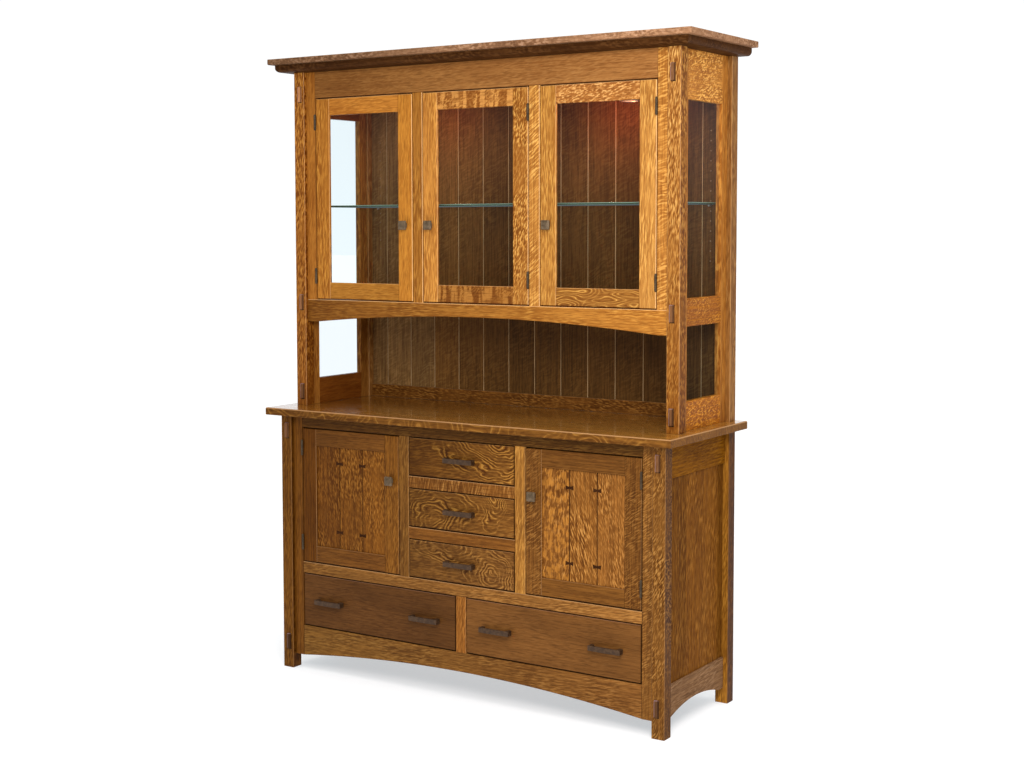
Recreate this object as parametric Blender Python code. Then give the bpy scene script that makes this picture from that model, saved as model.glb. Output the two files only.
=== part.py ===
"""A glazed three-door hutch on a buffet base, in quarter-sawn oak.

Metres, +Z up, front facing -Y. The origin lies on the floor, under the middle of the worktop.
Boards that are glued up for good share an object: a frame, a carcass end, a drawer.
Doors, glass, loose panels, hinges, knobs and pulls are objects of their own.
"""

import math

import bmesh
import bpy
from mathutils import Matrix, Vector

# Fits
SEAT = 0.0003
REVEAL_GAP = 0.003
DRAWER_SIDE_PLAY = 0.004

# Bays and boards, seen from the front
BAY_WIDTH = 0.4147
BAYS = 3
MULLION = 0.039
STILE = 0.040
RAIL = 0.039
POST = 0.0435
BOARD = 0.020
POST_PROUD_FRONT = 0.0125
POST_PROUD_SIDE = 0.016
EASE = 0.0015

# Buffet base, from the floor up
LEG_CLEARANCE = 0.049
APRON_DEPTH = 0.1055
APRON_RISE = 0.0415
WIDE_DRAWER_OPENING = 0.185
DRAWER_OPENING = 0.1305
TOP_RAIL = 0.041
BASE_DEPTH = 0.488
BASE_END_TOP_RAIL = 0.107
BASE_END_LOW_RAIL = 0.102
BASE_END_ARCH_RISE = 0.0265
BASE_END_ARCH_FLAT = 0.030
END_PANEL_SUNK = 0.006
END_PANEL = 0.010
SHELF_BOARD = 0.018
BACK_BOARD = 0.008
BACK_SET_IN = 0.008

# Worktop
WORKTOP = 0.0254
WORKTOP_SIDE_OVERHANG = 0.0365
WORKTOP_FRONT_OVERHANG = 0.040
WORKTOP_BACK_OVERHANG = 0.012
WORKTOP_EASE = 0.004

# Hutch, from the worktop up
NICHE_HEIGHT = 0.294
ARCH_RAIL_DEPTH = 0.077
ARCH_RAIL_RISE = 0.034
GLASS_DOOR_OPENING = 0.6945
FRIEZE = 0.0905
HUTCH_DEPTH = 0.402
HUTCH_END_STILE = 0.038
HUTCH_END_LOW_RAIL = 0.090
HUTCH_END_MID_RAIL = 0.085
HUTCH_END_MID_RAIL_DROP = 0.052
HUTCH_END_TOP_RAIL = 0.151
PLANK_WIDTH = 0.1054
PLANK_THICK = 0.012
V_GROOVE = 0.003
BACK_RAIL_HEIGHT = 0.045
BACK_RAIL_THICK = 0.008
GLASS_SHELF = 0.006
GLASS_SHELF_HEIGHT = 0.3205
SHELF_SET_BACK = 0.020
SHELF_PIN_RADIUS = 0.003
SHELF_PIN_REACH = 0.016
SHELF_PIN_FROM_POST = 0.039
PUCK_RADIUS = 0.035
PUCK_HEIGHT = 0.021
PUCK_X = 0.405
PUCK_FROM_FRONT = 0.315

# Cornice
MOULDING = 0.0255
MOULDING_OVERHANG = 0.046
MOULDING_ROUND = 0.0145
CAP = 0.0195
CAP_OVERHANG = 0.0645
CORNICE_BACK_OVERHANG = 0.008

# Doors
DOOR_FRAME = 0.0575
PANE = 0.003
PANEL = 0.009
PANEL_SUNK = 0.006
PANE_LIP = 0.008
GROOVE_DEPTH = 0.009
GLAZING_BLOCK = 0.030
GLAZING_BLOCK_HEIGHT = 0.006
KEY_LENGTH = 0.028
KEY_WAIST = 0.004
KEY_HEIGHT = 0.009
KEY_PROUD = 0.0005
KEY_FROM_RAIL = 0.056
PANEL_BOARDS = 3

# Drawers
DRAWER_LENGTH = 0.430
DRAWER_SIDE = 0.012
DRAWER_FLOOR = 0.006
DRAWER_FLOOR_UP = 0.010
DRAWER_SIDE_DROP = 0.018
RUNNER_HEIGHT = 0.018

# Hardware
HINGE_RADIUS = 0.004
HINGE_LENGTH = 0.0508
GLASS_HINGE_INSET = 0.0825
CUPBOARD_HINGE_INSET = 0.070
HINGE_LEAF = REVEAL_GAP - 3 * SEAT
HINGE_LEAF_DEPTH = 0.014
KNUCKLES = 5
KNOB = 0.030
KNOB_REACH = 0.0245
GLASS_KNOB_HEIGHT = 0.257
CUPBOARD_KNOB_DROP = 0.153
PULL_LENGTH = 0.112
PULL_HEIGHT = 0.016
PULL_REACH = 0.0245
PULL_BAR = 0.006
PULL_FOOT = 0.012
PULL_BOW = 0.002
WIDE_PULL_OFFSET = 0.201
PLUG_WIDTH = 0.016
PLUG_HEIGHT = 0.054
PLUG_PROUD = 0.006
PLUG_PILLOW = 0.0035
BASE_LOW_PLUG = 0.044
HUTCH_LOW_PLUG = 0.049
ARC_STEPS = 20
ROUND_STEPS = 12

# Widths worked out from the bays
OPENINGS_HALF = (BAYS * BAY_WIDTH + (BAYS - 1) * MULLION) / 2
POSTS_INSIDE = OPENINGS_HALF + STILE
CASE_HALF = POSTS_INSIDE + POST
END_OUTSIDE = CASE_HALF - POST_PROUD_SIDE
END_INSIDE = END_OUTSIDE - BOARD
WORKTOP_HALF = CASE_HALF + WORKTOP_SIDE_OVERHANG

# Depths worked out from the worktop, which is centred on the origin
WORKTOP_DEPTH = BASE_DEPTH + WORKTOP_FRONT_OVERHANG + WORKTOP_BACK_OVERHANG
BASE_FRONT = -WORKTOP_DEPTH / 2 + WORKTOP_FRONT_OVERHANG
CASE_BACK = BASE_FRONT + BASE_DEPTH
HUTCH_FRONT = CASE_BACK - HUTCH_DEPTH
BASE_FACE = BASE_FRONT + POST_PROUD_FRONT
HUTCH_FACE = HUTCH_FRONT + POST_PROUD_FRONT

# Heights worked out from the floor up
APRON_TOP = LEG_CLEARANCE + APRON_DEPTH
MID_RAIL_LOW = APRON_TOP + WIDE_DRAWER_OPENING
CUPBOARD_LOW = MID_RAIL_LOW + RAIL
CUPBOARD_OPENING = BAYS * DRAWER_OPENING + (BAYS - 1) * RAIL
CUPBOARD_HIGH = CUPBOARD_LOW + CUPBOARD_OPENING
WORKTOP_LOW = CUPBOARD_HIGH + TOP_RAIL
WORKTOP_HIGH = WORKTOP_LOW + WORKTOP
ARCH_RAIL_LOW = WORKTOP_HIGH + NICHE_HEIGHT
GLASS_DOOR_LOW = ARCH_RAIL_LOW + ARCH_RAIL_DEPTH
GLASS_DOOR_HIGH = GLASS_DOOR_LOW + GLASS_DOOR_OPENING
MOULDING_LOW = GLASS_DOOR_HIGH + FRIEZE
CAP_LOW = MOULDING_LOW + MOULDING
CAP_HIGH = CAP_LOW + CAP
GLASS_SHELF_LOW = GLASS_DOOR_LOW + GLASS_SHELF_HEIGHT

COLOURS = {
    "oak": ((0.36, 0.17, 0.055, 1.0), 0.45, 0.0),
    "dark_oak": ((0.22, 0.10, 0.035, 1.0), 0.45, 0.0),
    "inside_oak": ((0.30, 0.17, 0.08, 1.0), 0.55, 0.0),
    "key_wood": ((0.045, 0.018, 0.008, 1.0), 0.4, 0.0),
    "glass": ((0.85, 0.93, 0.90, 1.0), 0.05, 0.0),
    "bronze": ((0.16, 0.13, 0.11, 1.0), 0.4, 0.9),
}


def clear_scene():
    for obj in list(bpy.data.objects):
        bpy.data.objects.remove(obj, do_unlink=True)


def make_material(name):
    """A Principled material of the named colour, roughness and metallic value."""
    colour, roughness, metallic = COLOURS[name]
    material = bpy.data.materials.new(name)
    material.use_nodes = True
    shader = material.node_tree.nodes["Principled BSDF"]
    shader.inputs["Base Color"].default_value = colour
    shader.inputs["Roughness"].default_value = roughness
    shader.inputs["Metallic"].default_value = metallic
    if name == "glass":
        shader.inputs["Transmission Weight"].default_value = 0.9
    material.diffuse_color = colour
    return material


# Shapes: each returns a bmesh in world coordinates


def block(low, high, ease=0.0, steps=1):
    """A rectangular block between two corners, with its arrises eased."""
    bm = bmesh.new()
    bmesh.ops.create_cube(bm, size=1.0)
    size = Vector(high) - Vector(low)
    middle = (Vector(high) + Vector(low)) / 2
    bmesh.ops.scale(bm, vec=size, verts=bm.verts)
    bmesh.ops.translate(bm, vec=middle, verts=bm.verts)
    if ease:
        bmesh.ops.bevel(bm, geom=bm.edges[:], offset=ease, segments=steps, profile=0.5, affect="EDGES")
    return bm


def arc(half_chord, rise, base, steps=ARC_STEPS):
    """Points of a shallow arch from -half_chord to +half_chord, whose ends are at height base."""
    radius = (half_chord**2 + rise**2) / (2 * rise)
    sweep = math.asin(half_chord / radius)
    turns = [-sweep + 2 * sweep * i / steps for i in range(steps + 1)]
    return [(radius * math.sin(t), base + rise - radius + radius * math.cos(t)) for t in turns]


def rectangle(low, high):
    return [(low[0], low[1]), (high[0], low[1]), (high[0], high[1]), (low[0], high[1])]


AXES = {
    "front": Matrix(((1, 0, 0), (0, 0, 1), (0, 1, 0))),
    "side": Matrix(((0, 0, 1), (1, 0, 0), (0, 1, 0))),
    "plan": Matrix(((1, 0, 0), (0, 1, 0), (0, 0, 1))),
}


def plate(view, outline, start, thick, holes=(), ease=0.0):
    """An outline with holes, drawn in a view's plane, and extruded by thick along the axis left over.

    front draws in X and Z and extrudes along Y, side draws in Y and Z and extrudes along X,
    and plan draws in X and Y and extrudes along Z.
    """
    bm = bmesh.new()
    place = AXES[view]
    loops = []
    for points in (outline, *holes):
        corners = [bm.verts.new(place @ Vector((u, v, start))) for u, v in points]
        loops.append([bm.edges.new((a, b)) for a, b in zip(corners, corners[1:] + corners[:1])])
    if holes:
        edges = [edge for loop in loops for edge in loop]
        bmesh.ops.triangle_fill(bm, edges=edges, use_beauty=True, use_dissolve=False)
    else:
        bmesh.ops.contextual_create(bm, geom=loops[0])
    made = bmesh.ops.extrude_face_region(bm, geom=bm.faces[:])
    moved = [item for item in made["geom"] if isinstance(item, bmesh.types.BMVert)]
    bmesh.ops.translate(bm, vec=place @ Vector((0, 0, thick)), verts=moved)
    bmesh.ops.recalc_face_normals(bm, faces=bm.faces)
    if ease:
        sharp = [edge for edge in bm.edges if edge.calc_face_angle(0.0) > math.radians(40)]
        bmesh.ops.bevel(bm, geom=sharp, offset=ease, segments=1, affect="EDGES", clamp_overlap=True)
    return bm


def loft(sections):
    """A closed body through a list of loops of equal count, each a list of points."""
    bm = bmesh.new()
    rings = [[bm.verts.new(point) for point in loop] for loop in sections]
    for first, second in zip(rings, rings[1:]):
        for i in range(len(first)):
            j = (i + 1) % len(first)
            bm.faces.new((first[i], first[j], second[j], second[i]))
    bm.faces.new(rings[0])
    bm.faces.new(rings[-1])
    bmesh.ops.recalc_face_normals(bm, faces=bm.faces)
    return bm


def frame_ring(low, high, width, face, profile):
    """A rectangular frame, mitred from a closed profile carried round the opening.

    low and high are the frame's outer corners in X and Z. Each profile point is a distance outward
    from the sight line of the opening and a depth behind the face.
    """
    bm = bmesh.new()
    rings = []
    for outward, depth in profile:
        inset = width - outward
        corners = rectangle((low[0] + inset, low[1] + inset), (high[0] - inset, high[1] - inset))
        rings.append([bm.verts.new((x, face + depth, z)) for x, z in corners])
    for first, second in zip(rings, rings[1:] + rings[:1]):
        for i in range(4):
            j = (i + 1) % 4
            bm.faces.new((first[i], first[j], second[j], second[i]))
    bmesh.ops.recalc_face_normals(bm, faces=bm.faces)
    return bm


def turned(profile, centre, steps=ROUND_STEPS):
    """A body turned about a vertical line through centre, from radii and heights listed bottom to top."""
    bm = bmesh.new()
    points = [bm.verts.new((centre[0] + r, centre[1], z)) for r, z in profile]
    edges = [bm.edges.new(pair) for pair in zip(points, points[1:])]
    bmesh.ops.spin(
        bm,
        geom=points + edges,
        cent=(centre[0], centre[1], 0),
        axis=(0, 0, 1),
        angle=math.tau,
        steps=steps,
        use_merge=True,
        use_duplicate=False,
    )
    bmesh.ops.remove_doubles(bm, verts=bm.verts, dist=1e-6)
    bmesh.ops.holes_fill(bm, edges=bm.edges, sides=steps)
    bmesh.ops.recalc_face_normals(bm, faces=bm.faces)
    return bm


# Objects


def link(name, bm, material=None):
    mesh = bpy.data.meshes.new(name)
    bm.to_mesh(mesh)
    bm.free()
    obj = bpy.data.objects.new(name, mesh)
    bpy.context.scene.collection.objects.link(obj)
    if material:
        mesh.materials.append(MATERIALS[material])
    return obj


def add_tools(host, operation, shapes):
    """Fuses shapes to host, or cuts them from it, with one Boolean modifier each."""
    for number, shape in enumerate(shapes):
        tool = link(f"{host.name}_{operation.lower()}_{number}", shape)
        tool.hide_render = True
        tool.display_type = "WIRE"
        tool.parent = host
        modifier = host.modifiers.new(tool.name, "BOOLEAN")
        modifier.operation = operation
        modifier.solver = "EXACT"
        modifier.object = tool


def piece(name, shapes, material, cuts=()):
    """An object made of shapes fused into one body, with cuts taken out of it."""
    obj = link(name, shapes[0], material)
    add_tools(obj, "UNION", shapes[1:])
    add_tools(obj, "DIFFERENCE", cuts)
    return obj


def moving_group(name, point, members):
    """An empty on the joint's axis that carries the pieces of one moving body."""
    axis = bpy.data.objects.new(name, None)
    bpy.context.scene.collection.objects.link(axis)
    axis.location = point
    shift = Matrix.Translation(-Vector(point))
    for member in members:
        member.data.transform(shift)
        member.parent = axis
        for tool in member.children:
            tool.data.transform(shift)


# Carcass ends


def plug(x, z, front):
    """The pillowed end of a tenon plug, standing proud of a post's front face."""
    low = (x - PLUG_WIDTH / 2, front - PLUG_PROUD, z - PLUG_HEIGHT / 2)
    high = (x + PLUG_WIDTH / 2, front + PLUG_PROUD, z + PLUG_HEIGHT / 2)
    return block(low, high, ease=PLUG_PILLOW)


def posts(side, front, low, high):
    """The front and the back post of one carcass end."""
    inner, outer = sorted((side * POSTS_INSIDE, side * CASE_HALF))
    return [
        block((inner, y, low), (outer, y + POST, high), ease=EASE)
        for y in (front, CASE_BACK - POST)
    ]


def end_board(side, thick=BOARD, sunk=0.0):
    """Where a board of a carcass end starts in X, for a board whose outer face is sunk by sunk."""
    outer = END_OUTSIDE - sunk
    return outer - thick if side > 0 else -outer


def base_end(side, name):
    """Two posts, a top rail, an arched low rail and a flat panel, glued up as one end."""
    low, high = 0.0, WORKTOP_LOW - SEAT
    tenon = POST / 3
    near, far = BASE_FRONT + POST - tenon, CASE_BACK - POST + tenon
    middle = (near + far) / 2
    half_chord = (far - near) / 2 - tenon - BASE_END_ARCH_FLAT
    arch_top = LEG_CLEARANCE + BASE_END_LOW_RAIL
    arch = [(middle + y, z) for y, z in arc(half_chord, BASE_END_ARCH_RISE, LEG_CLEARANCE)]
    rail_outline = [(near, arch_top), (near, LEG_CLEARANCE), *arch, (far, LEG_CLEARANCE), (far, arch_top)]
    panel_low, panel_high = arch_top - tenon, high - BASE_END_TOP_RAIL + tenon
    panel = rectangle((near, panel_low), (far, panel_high))
    top_rail = rectangle((near, high - BASE_END_TOP_RAIL), (far, high - SEAT))
    plug_x = side * (END_OUTSIDE - BOARD / 2)
    shapes = [
        *posts(side, BASE_FRONT, low, high),
        plate("side", top_rail, end_board(side), BOARD),
        plate("side", rail_outline, end_board(side), BOARD),
        plate("side", panel, end_board(side, END_PANEL, END_PANEL_SUNK), END_PANEL),
        plug(plug_x, high - BASE_END_TOP_RAIL / 2, BASE_FRONT),
        plug(plug_x, LEG_CLEARANCE + BASE_LOW_PLUG, BASE_FRONT),
    ]
    return piece(name, shapes, "dark_oak")


def hutch_lights():
    """The low and high edges of the lower and the upper glass light of a hutch end."""
    mid_low = GLASS_DOOR_LOW - HUTCH_END_MID_RAIL_DROP
    top_low = MOULDING_LOW - HUTCH_END_TOP_RAIL
    return {
        "lower": (WORKTOP_HIGH + HUTCH_END_LOW_RAIL, mid_low),
        "upper": (mid_low + HUTCH_END_MID_RAIL, top_low),
    }


def light_sides():
    """The front and back edges of the glass lights of a hutch end."""
    return HUTCH_FRONT + POST + HUTCH_END_STILE, CASE_BACK - POST - HUTCH_END_STILE


def hutch_end(side, name):
    """Two posts and a frame with an upper and a lower light, grooved for glass, with a shelf pin."""
    low, high = WORKTOP_HIGH + SEAT, MOULDING_LOW - SEAT
    tenon = POST / 3
    outline = rectangle((HUTCH_FRONT + POST - tenon, low), (CASE_BACK - POST + tenon, high - SEAT))
    front, back = light_sides()
    holes = [rectangle((front, z0), (back, z1)) for z0, z1 in hutch_lights().values()]
    groove = PANE + 2 * SEAT
    groove_start = end_board(side, groove, (BOARD - groove) / 2)
    grooves = [
        plate(
            "side",
            rectangle((front - GROOVE_DEPTH, z0 - GROOVE_DEPTH), (back + GROOVE_DEPTH, z1 + GROOVE_DEPTH)),
            groove_start,
            groove,
        )
        for z0, z1 in hutch_lights().values()
    ]
    plug_x = side * (END_OUTSIDE - BOARD / 2)
    pin_y = front - HUTCH_END_STILE / 2
    shapes = [
        *posts(side, HUTCH_FRONT, low, high),
        plate("side", outline, end_board(side), BOARD, holes=holes),
        plug(plug_x, high - HUTCH_END_TOP_RAIL / 2, HUTCH_FRONT),
        plug(plug_x, GLASS_DOOR_LOW - HUTCH_END_MID_RAIL_DROP + HUTCH_END_MID_RAIL / 2, HUTCH_FRONT),
        plug(plug_x, low + HUTCH_LOW_PLUG, HUTCH_FRONT),
        shelf_pin((side * END_INSIDE, pin_y), (-side, 0)),
    ]
    return piece(name, shapes, "oak", cuts=grooves)


def shelf_pin(foot, outward):
    """A round pin under the glass shelf, let into the wood at foot and standing out of it in plan."""
    x, y = foot
    along, across = Vector((*outward, 0)), Vector((outward[1], outward[0], 0))
    middle = Vector((x, y, GLASS_SHELF_LOW - SEAT - SHELF_PIN_RADIUS))
    turns = [math.tau * i / ROUND_STEPS for i in range(ROUND_STEPS)]
    ring = [SHELF_PIN_RADIUS * (across * math.sin(t) + Vector((0, 0, math.cos(t)))) for t in turns]
    ends = (middle - along * SHELF_PIN_REACH / 4, middle + along * SHELF_PIN_REACH)
    return loft([[end + point for point in ring] for end in ends])


# Face frames


def bay_edges(bay):
    """The left and right edge of one bay's opening, counted from the left."""
    left = -OPENINGS_HALF + bay * (BAY_WIDTH + MULLION)
    return left, left + BAY_WIDTH


def drawer_lows():
    """The low edge of each small drawer's opening, from the top one down."""
    return [CUPBOARD_HIGH - DRAWER_OPENING - i * (DRAWER_OPENING + RAIL) for i in range(BAYS)]


def wide_edges(side):
    """The left and right edge of a wide drawer's opening, on the left (-1) or the right (1)."""
    return tuple(sorted((side * MULLION / 2, side * OPENINGS_HALF)))


def base_face_frame():
    """Stiles, rails and mullions round the doors and drawers, with an arched apron."""
    half = POSTS_INSIDE - SEAT
    arch = arc(OPENINGS_HALF, APRON_RISE, LEG_CLEARANCE)
    top = WORKTOP_LOW - SEAT
    outline = [(-half, top), (-half, LEG_CLEARANCE), *arch, (half, LEG_CLEARANCE), (half, top)]
    holes = []
    for bay in (0, BAYS - 1):
        left, right = bay_edges(bay)
        holes.append(rectangle((left, CUPBOARD_LOW), (right, CUPBOARD_HIGH)))
    left, right = bay_edges(1)
    holes += [rectangle((left, low), (right, low + DRAWER_OPENING)) for low in drawer_lows()]
    for side in (-1, 1):
        left, right = wide_edges(side)
        holes.append(rectangle((left, APRON_TOP), (right, MID_RAIL_LOW)))
    return piece("base_face_frame", [plate("front", outline, BASE_FACE, BOARD, holes=holes)], "dark_oak")


def hutch_face_frame():
    """Stiles, mullions and a frieze rail round the glass doors, over an arched rail."""
    half = POSTS_INSIDE - SEAT
    arch = arc(OPENINGS_HALF, ARCH_RAIL_RISE, ARCH_RAIL_LOW)
    top = MOULDING_LOW - SEAT
    outline = [(-half, top), (-half, ARCH_RAIL_LOW), *arch, (half, ARCH_RAIL_LOW), (half, top)]
    holes = []
    for bay in range(BAYS):
        left, right = bay_edges(bay)
        holes.append(rectangle((left, GLASS_DOOR_LOW), (right, GLASS_DOOR_HIGH)))
    return piece("hutch_face_frame", [plate("front", outline, HUTCH_FACE, BOARD, holes=holes)], "oak")


# Decks, partitions and backs


def deck_outline(front, back):
    """A board that fills the case in plan, notched round the posts, from front to back."""
    wide, narrow = END_INSIDE - SEAT, POSTS_INSIDE - SEAT
    post_front = (BASE_FRONT if front < HUTCH_FRONT else HUTCH_FRONT) + POST + SEAT
    post_back = CASE_BACK - POST - SEAT
    right = [(narrow, front), (narrow, post_front), (wide, post_front)]
    right += [(wide, post_back), (narrow, post_back), (narrow, back)]
    left = [(-x, y) for x, y in reversed(right)]
    return right + left


def base_deck(name, high):
    """A board across the base whose top face is at high."""
    front, back = BASE_FACE + BOARD + SEAT, base_back_front() - SEAT
    return piece(name, [plate("plan", deck_outline(front, back), high - SHELF_BOARD, SHELF_BOARD)], "inside_oak")


def hutch_deck_outline():
    return deck_outline(HUTCH_FACE + BOARD + SEAT, planks_front() - SEAT)


def hutch_deck():
    """The floor of the glazed cupboard, which closes the niche below it."""
    low = GLASS_DOOR_LOW - SHELF_BOARD
    return piece("hutch_deck", [plate("plan", hutch_deck_outline(), low, SHELF_BOARD)], "oak")


def puck_light(x, under):
    """A flat round lamp with a stepped rim and a sunk lens, hung from the ceiling board."""
    y = HUTCH_FRONT + PUCK_FROM_FRONT
    rim, lens = PUCK_RADIUS, PUCK_RADIUS * 0.8
    low = under - PUCK_HEIGHT
    profile = [
        (lens * 0.5, low + PUCK_HEIGHT / 5),
        (lens, low + PUCK_HEIGHT / 5),
        (lens, low),
        (rim - PUCK_HEIGHT / 8, low),
        (rim, low + PUCK_HEIGHT / 8),
        (rim, under + SHELF_BOARD / 2),
        (lens * 0.5, under + SHELF_BOARD / 2),
    ]
    return turned(profile, (x, y), steps=2 * ROUND_STEPS)


def hutch_ceiling():
    """The board that the doors close against at the top, with its two lamps."""
    low = GLASS_DOOR_HIGH - SHELF_BOARD
    board = plate("plan", hutch_deck_outline(), low, SHELF_BOARD)
    lamps = [puck_light(side * PUCK_X, low) for side in (-1, 1)]
    return piece("hutch_ceiling", [board, *lamps], "oak")


def base_back_front():
    return CASE_BACK - BACK_SET_IN - BACK_BOARD


def planks_front():
    return CASE_BACK - BACK_SET_IN - PLANK_THICK


def base_back():
    """A plain board between the back posts."""
    low = (-POSTS_INSIDE + SEAT, base_back_front(), APRON_TOP - SHELF_BOARD)
    high = (POSTS_INSIDE - SEAT, CASE_BACK - BACK_SET_IN, WORKTOP_LOW - SEAT)
    return piece("base_back", [block(low, high)], "inside_oak")


def grooved_board(half, front, back, middle, grooves):
    """The plan outline of a board with V grooves in its front face, at distances from its middle."""
    face = [(-half, front)]
    for x in grooves:
        face += [(x - V_GROOVE / 2, front), (x, front + V_GROOVE / 2), (x + V_GROOVE / 2, front)]
    face += [(half, front), (half, back), (-half, back)]
    return [(middle + x, y) for x, y in face]


def hutch_back():
    """Vertical planks with V joints, the rail that stands before their feet, and two shelf pins."""
    half = POSTS_INSIDE - SEAT
    count = int((half - V_GROOVE) / PLANK_WIDTH)
    grooves = [i * PLANK_WIDTH for i in range(-count, count + 1)]
    front, back = planks_front(), CASE_BACK - BACK_SET_IN
    low, high = WORKTOP_HIGH + SEAT, MOULDING_LOW - SEAT
    planks = plate("plan", grooved_board(half, front, back, 0.0, grooves), low, high - low)
    rail_low = (-half + SEAT, front - BACK_RAIL_THICK, low)
    rail_high = (half - SEAT, front + PLANK_THICK / 2, low + BACK_RAIL_HEIGHT)
    pin_x = POSTS_INSIDE - SHELF_PIN_FROM_POST
    pins = [shelf_pin((x, front), (0, -1)) for x in (-pin_x, pin_x)]
    return piece("hutch_back", [planks, block(rail_low, rail_high), *pins], "oak")


def box_half_gap():
    """From a drawer opening's edge to the side of the drawer's box."""
    return REVEAL_GAP + DRAWER_SIDE_PLAY


def partition(side, name):
    """An upright board beside the small drawers, with the runners that carry the upper two."""
    middle = side * (bay_edges(1)[1] + MULLION / 2)
    front, back = BASE_FACE + BOARD + SEAT, base_back_front() - SEAT
    low = (middle - SHELF_BOARD / 2, front, CUPBOARD_LOW + SEAT)
    high = (middle + SHELF_BOARD / 2, back, WORKTOP_LOW - SEAT)
    reach = MULLION / 2 + box_half_gap() + DRAWER_SIDE
    runners = []
    for opening_low in drawer_lows()[:-1]:
        left, right = sorted((middle, middle - side * reach))
        runner_low = (left, front, opening_low - RUNNER_HEIGHT)
        runners.append(block(runner_low, (right, back - BOARD, opening_low)))
    return piece(name, [block(low, high), *runners], "inside_oak")


def drawer_divider():
    """The upright board between the two wide drawers."""
    half = SHELF_BOARD / 2
    front, back = BASE_FACE + BOARD + SEAT, base_back_front() - SEAT
    low = (-half, front, APRON_TOP + SEAT)
    high = (half, back, CUPBOARD_LOW - SHELF_BOARD - SEAT)
    return piece("drawer_divider", [block(low, high)], "inside_oak")


# Worktop, shelf and cornice


def slab_sections(half, front, back, levels):
    """Rectangles in plan at several heights, each drawn in by its own inset on the front and the sides."""
    sections = []
    for z, inset in levels:
        corners = rectangle((-half + inset, front + inset), (half - inset, back))
        sections.append([(x, y, z) for x, y in corners])
    return sections


def rounded_levels(low, high, round_low, round_high, steps=3):
    """Heights and insets of a slab edge with a quarter round at the bottom and at the top."""
    levels = []
    for i in range(steps + 1):
        turn = math.pi / 2 * i / steps
        levels.append((low + round_low * (1 - math.cos(turn)), round_low * (1 - math.sin(turn))))
    for i in range(steps + 1):
        turn = math.pi / 2 * i / steps
        levels.append((high - round_high * (1 - math.sin(turn)), round_high * (1 - math.cos(turn))))
    return levels


def worktop():
    levels = rounded_levels(WORKTOP_LOW, WORKTOP_HIGH, WORKTOP_EASE / 2, WORKTOP_EASE)
    half_depth = WORKTOP_DEPTH / 2
    sections = slab_sections(WORKTOP_HALF, -half_depth, half_depth, levels)
    return piece("worktop", [loft(sections)], "dark_oak")


def cornice_moulding():
    """The lower board of the cornice, with a large round under its fascia."""
    levels = rounded_levels(MOULDING_LOW, CAP_LOW - SEAT, MOULDING_ROUND, EASE, steps=5)
    half, front = CASE_HALF + MOULDING_OVERHANG, HUTCH_FRONT - MOULDING_OVERHANG
    sections = slab_sections(half, front, CASE_BACK, levels)
    return piece("cornice_moulding", [loft(sections)], "oak")


def cornice_cap():
    levels = rounded_levels(CAP_LOW, CAP_HIGH, WORKTOP_EASE, WORKTOP_EASE / 2)
    half, front = CASE_HALF + CAP_OVERHANG, HUTCH_FRONT - CAP_OVERHANG
    sections = slab_sections(half, front, CASE_BACK + CORNICE_BACK_OVERHANG, levels)
    return piece("cornice_cap", [loft(sections)], "oak")


def glass_shelf():
    front, back = HUTCH_FACE + BOARD + SHELF_SET_BACK, planks_front() - BACK_RAIL_THICK
    half = POSTS_INSIDE - 4 * SEAT
    low = (-half, front, GLASS_SHELF_LOW)
    high = (half, back, GLASS_SHELF_LOW + GLASS_SHELF)
    return piece("glass_shelf", [block(low, high, ease=GLASS_SHELF / 8)], "glass")


def side_pane(side, level, name):
    """A glass light in the groove of a hutch end."""
    z0, z1 = hutch_lights()[level]
    front, back = light_sides()
    edge = GROOVE_DEPTH - SEAT
    outline = rectangle((front - edge, z0 - edge), (back + edge, z1 + edge))
    start = end_board(side, PANE, (BOARD - PANE) / 2)
    return piece(name, [plate("side", outline, start, PANE)], "glass")


# Doors


def door_corners(bay, low, high):
    left, right = bay_edges(bay)
    return (left + REVEAL_GAP, low + REVEAL_GAP), (right - REVEAL_GAP, high - REVEAL_GAP)


def glazing_blocks(low, high, face):
    """Two short blocks on the low and two on the high wall of a door's rabbet, which hold its pane."""
    front, back = face + PANE_LIP + PANE + 2 * SEAT, face + BOARD - SEAT
    middle, offset = (low[0] + high[0]) / 2, (high[0] - low[0]) / 4
    shapes = []
    for x in (middle - offset, middle + offset):
        for wall, inward in ((low[1], 1), (high[1], -1)):
            z0, z1 = sorted((wall - inward * EASE, wall + inward * GLAZING_BLOCK_HEIGHT))
            shapes.append(block((x - GLAZING_BLOCK / 2, front, z0), (x + GLAZING_BLOCK / 2, back, z1)))
    return shapes


def door_frame(name, corners, face, glazed):
    """Stiles and rails glued up, with a rabbet for glass behind a lip, or a groove for a loose panel."""
    outside = [(0.0, EASE), (EASE, 0.0), (DOOR_FRAME - EASE, 0.0), (DOOR_FRAME, EASE), (DOOR_FRAME, BOARD)]
    low, high = corners
    if glazed:
        rabbet = [(GROOVE_DEPTH, BOARD), (GROOVE_DEPTH, PANE_LIP), (0.0, PANE_LIP)]
        inset = DOOR_FRAME - GROOVE_DEPTH
        inner_low, inner_high = (low[0] + inset, low[1] + inset), (high[0] - inset, high[1] - inset)
        ring = frame_ring(low, high, DOOR_FRAME, face, outside + rabbet)
        return piece(name, [ring, *glazing_blocks(inner_low, inner_high, face)], "oak")
    front, back = PANEL_SUNK - SEAT, PANEL_SUNK + PANEL + SEAT
    groove = [(0.0, BOARD), (0.0, back), (GROOVE_DEPTH, back), (GROOVE_DEPTH, front), (0.0, front)]
    return piece(name, [frame_ring(low, high, DOOR_FRAME, face, outside + groove)], "dark_oak")


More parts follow.
